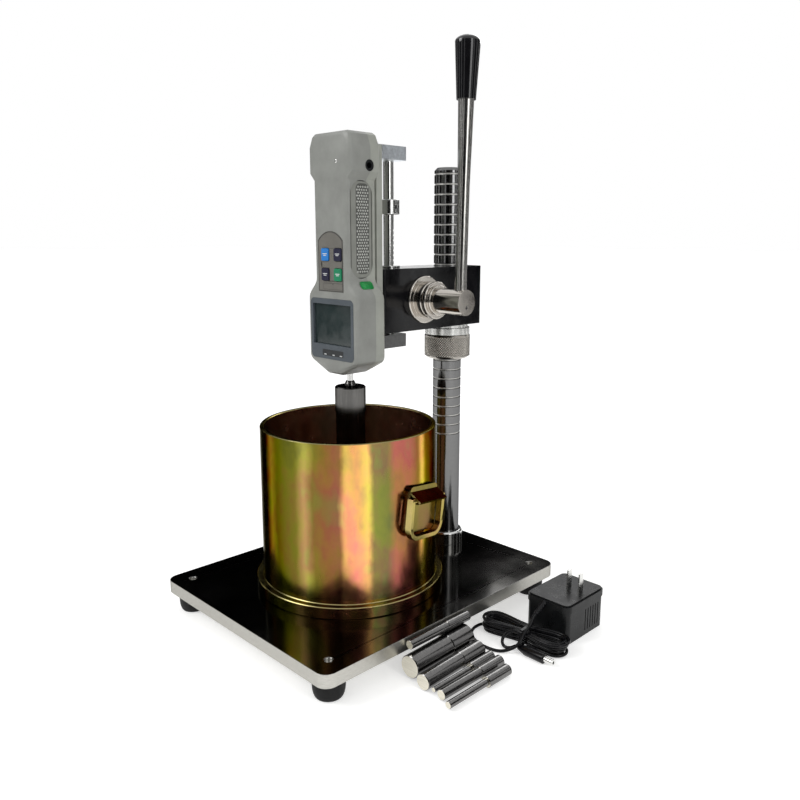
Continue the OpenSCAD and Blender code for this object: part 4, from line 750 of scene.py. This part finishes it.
KEY_PROUD, BAR_HALF = 1.3, 0.35
KEYS = (("blue", -6.8, 349.2, "blue_key"), ("upper", 10.8, 349.2, "upper_dark_key"),
        ("lower", -6.8, 331.4, "lower_dark_key"), ("green", 10.8, 331.4, "green_key"))
for name, x, z, body in KEYS:
    for row, (w, dz) in enumerate(((3.0, 0.7), (2.0, -0.7))):
        slab("mark_%s_%d" % (name, row), rect(x - w, x + w, z + dz - BAR_HALF, z + dz + BAR_HALF),
             KEY_PROUD + 0.06, KEY_PROUD - 0.05, "mark", body, THIN)

slab("key_frame", round_rect(-10.6, 16.8, 317.8, 323.7, 1.0), 0.32, 0.2, "rim")
slab("key_frame_face", round_rect(-10.2, 16.4, 318.2, 323.3, 0.8), 0.38, 0.25, "keypad")
slab("key_frame_dot", round_rect(2.5, 3.9, 322.3, 323.1, 0.3, 3), 0.44, 0.3, "rim", width=THIN)


def side_plate(name, side, outline, x_in, x_out, key):
    """A plate on the gauge's side, its outline given as (y, z) points."""
    return plate_between(name, [(side * x_in, y, z) for y, z in outline],
                         [(side * x_out, y, z) for y, z in outline], key, "slide", 0.15)


DOT_ROWS, DOT_COLS, DOT_PITCH_Y, DOT_PITCH_Z = 30, 5, 2.75, 2.55
DOT_MID_Y, DOT_STAGGER, DOT_Z0, DOT_TIP = -18.8, 0.69, 334.2, 0.45
DOT_CORNERS = ((1.25, 0), (0, 1.2), (-1.25, 0), (0, -1.2))


def side_panel(side):
    """A smooth panel let into the waist behind a dark seam, with a strip of raised diamond dots."""
    face = (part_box("side_grips")[1][0] / MM) + ORIGIN_X
    label = "right" if side > 0 else "left"
    side_plate("side_seam_" + label, side, round_rect(-33.3, -7.3, 327.9, 413.9, 9, 8),
               face - 1.5, face - 0.9, "seam")
    panel = side_plate("side_panel_" + label, side, round_rect(-32.3, -8.3, 328.9, 412.9, 8, 8),
                       face - 1.4, face - 0.25, "grip")
    side_plate("side_bed_" + label, side, round_rect(-26.6, -11.2, 332.0, 411.2, 5, 6),
               face - 1.2, face - 0.2, "seam")
    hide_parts("side_grips")
    bm = bmesh.new()
    for row in range(DOT_ROWS):
        for col in range(DOT_COLS):
            y = DOT_MID_Y + (col - (DOT_COLS - 1) / 2) * DOT_PITCH_Y
            y += DOT_STAGGER if row % 2 else -DOT_STAGGER
            z = DOT_Z0 + row * DOT_PITCH_Z
            ring = [bm.verts.new(at(side * (face - 0.25), y + dy, z + dz)) for dy, dz in DOT_CORNERS]
            tip = [bm.verts.new(at(side * (face + 0.15), y + dy * DOT_TIP, z + dz * DOT_TIP))
                   for dy, dz in DOT_CORNERS]
            bm.faces.new(tip)
            for i in range(4):
                j = (i + 1) % 4
                bm.faces.new((ring[i], ring[j], tip[j], tip[i]))
            bm.faces.new(ring)
    dots = from_bmesh("side_dots_" + label, bm, False)
    paint(dots, "grip_dots")
    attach(dots, "slide")


side_panel(1)
side_panel(-1)

HEAD_HALF, WAIST_HALF, HEAD_TOP, SHOULDER_H = 35, 23.5, 309.4, 18


def shoulder(y, z, out):
    """A point on the right shoulder's slope, moved out from it."""
    return HEAD_HALF - (HEAD_HALF - WAIST_HALF) * (z - HEAD_TOP) / SHOULDER_H + out, y, z


LABEL = round_rect(-25.0, -10.5, 318.6, 325.4, 2.2, 6)
plate_between("green_label", [shoulder(y, z, -0.15) for y, z in LABEL],
              [shoulder(y, z, 0.25) for y, z in LABEL], "sticker", "slide", 0)


def keypad_rim():
    """A dark printed line round the keypad panel, arched at its top."""
    low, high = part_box("keypad_panel")
    x0, x1 = low[0] / MM + ORIGIN_X, high[0] / MM + ORIGIN_X
    y0, z0, z1 = low[1] / MM, low[2] / MM, high[2] / MM
    rise, margin, width, steps = 8.0, 0.15, 0.9, 24
    half, mid = (x1 - x0) / 2, (x0 + x1) / 2

    def outline(inset):
        h = half - inset
        radius = (h * h + rise * rise) / (2 * rise)
        pts = [(mid - h, z0 + inset), (mid + h, z0 + inset)]
        for i in range(steps + 1):
            x = h * (1 - 2 * i / steps)
            pts.append((mid + x, z1 - inset - radius + math.sqrt(radius * radius - x * x)))
        return pts

    front, rear = y0 - 0.06, y0 + 0.2
    section = ((margin, front), (margin + width, front), (margin + width, rear), (margin, rear))
    bm = bmesh.new()
    loops = [[bm.verts.new(at(x, y, z)) for x, z in outline(inset)] for inset, y in section]
    n = len(loops[0])
    for a, b in ((0, 1), (1, 2), (2, 3), (3, 0)):
        for i in range(n):
            j = (i + 1) % n
            bm.faces.new((loops[a][i], loops[a][j], loops[b][j], loops[b][i]))
    rim = from_bmesh("keypad_rim", bm, False)
    paint(rim, "rim")
    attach(rim, "slide")


keypad_rim()
HUB_END, SHAFT_Y, SHAFT_Z, CENTRE_DROP = 79.5, 59.25, 305.0, 5
# A dark dot on the hub's end face: painted shade standing for a small centre hole
hub_centre = lathe("hub_centre", [(0, 0.02), (0.9, 0.02), (1.1, 0.12), (1.5, 0.12), (1.6, -0.1)],
                   frame_matrix(at(HUB_END, SHAFT_Y, SHAFT_Z - CENTRE_DROP), (1, 0, 0)), 20)
paint(hub_centre, "dark_steel")
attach(hub_centre, "lever")

case_screw = lathe("case_screw", [(0, 0.5), (1.0, 0.45), (1.5, 0.2), (1.6, -0.3)],
                   frame_matrix(at(9.8, GAUGE_FRONT, 429.7), (0, -1, 0)), 24)
paint(case_screw, "contact")
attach(case_screw, "slide")


# ---------------------------------------------------------------- lock nut
NUT_Z, NUT_H, NUT_R, COLUMN_Y = 239.4, 25.0, 24.25, 120
KNURL_Z, KNURL_H, KNURL_DEPTH = 2.4, 21.0, 0.85


def knurled_nut():
    """Diamond knurl round the nut: crossing ridges on a fine grid."""
    turns, diamonds, per, fade_rows = 60, 8, 8, 3
    cols, rows = turns * per, diamonds * per
    verts, faces = [], []
    for j in range(rows + 1):
        z = KNURL_Z + KNURL_H * j / rows
        for i in range(cols):
            a = 2 * math.pi * i / cols
            u, w = i / per, j / per
            ridge = abs(math.sin((u + w) * math.pi)) * abs(math.sin((u - w) * math.pi))
            fade = min(1, j / fade_rows, (rows - j) / fade_rows)
            r = NUT_R - KNURL_DEPTH * fade * (1 - ridge)
            verts.append(at(r * math.cos(a), COLUMN_Y + r * math.sin(a), NUT_Z + z))
    for j in range(rows):
        for i in range(cols):
            k = (i + 1) % cols
            faces.append((j * cols + i, j * cols + k, (j + 1) * cols + k, (j + 1) * cols + i))
    knurl = new_object("nut_knurl", verts, faces)
    paint(knurl, "knurled")
    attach(knurl, "nut")
    profile = [(15.05, 0.0), (21.4, 0.0), (22.2, 0.5), (24.2, 2.4), (23.2, 2.6), (23.2, NUT_H - 1.8),
               (24.2, NUT_H - 1.6), (23.3, NUT_H - 0.4), (22.8, NUT_H), (15.05, NUT_H)]
    body = lathe("nut_body", profile, Matrix.Translation(at(0, COLUMN_Y, NUT_Z)), 96, True)
    paint(body, "knurled")
    edges(body, 0.2)
    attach(body, "nut")
    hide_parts("lock_nut")


knurled_nut()
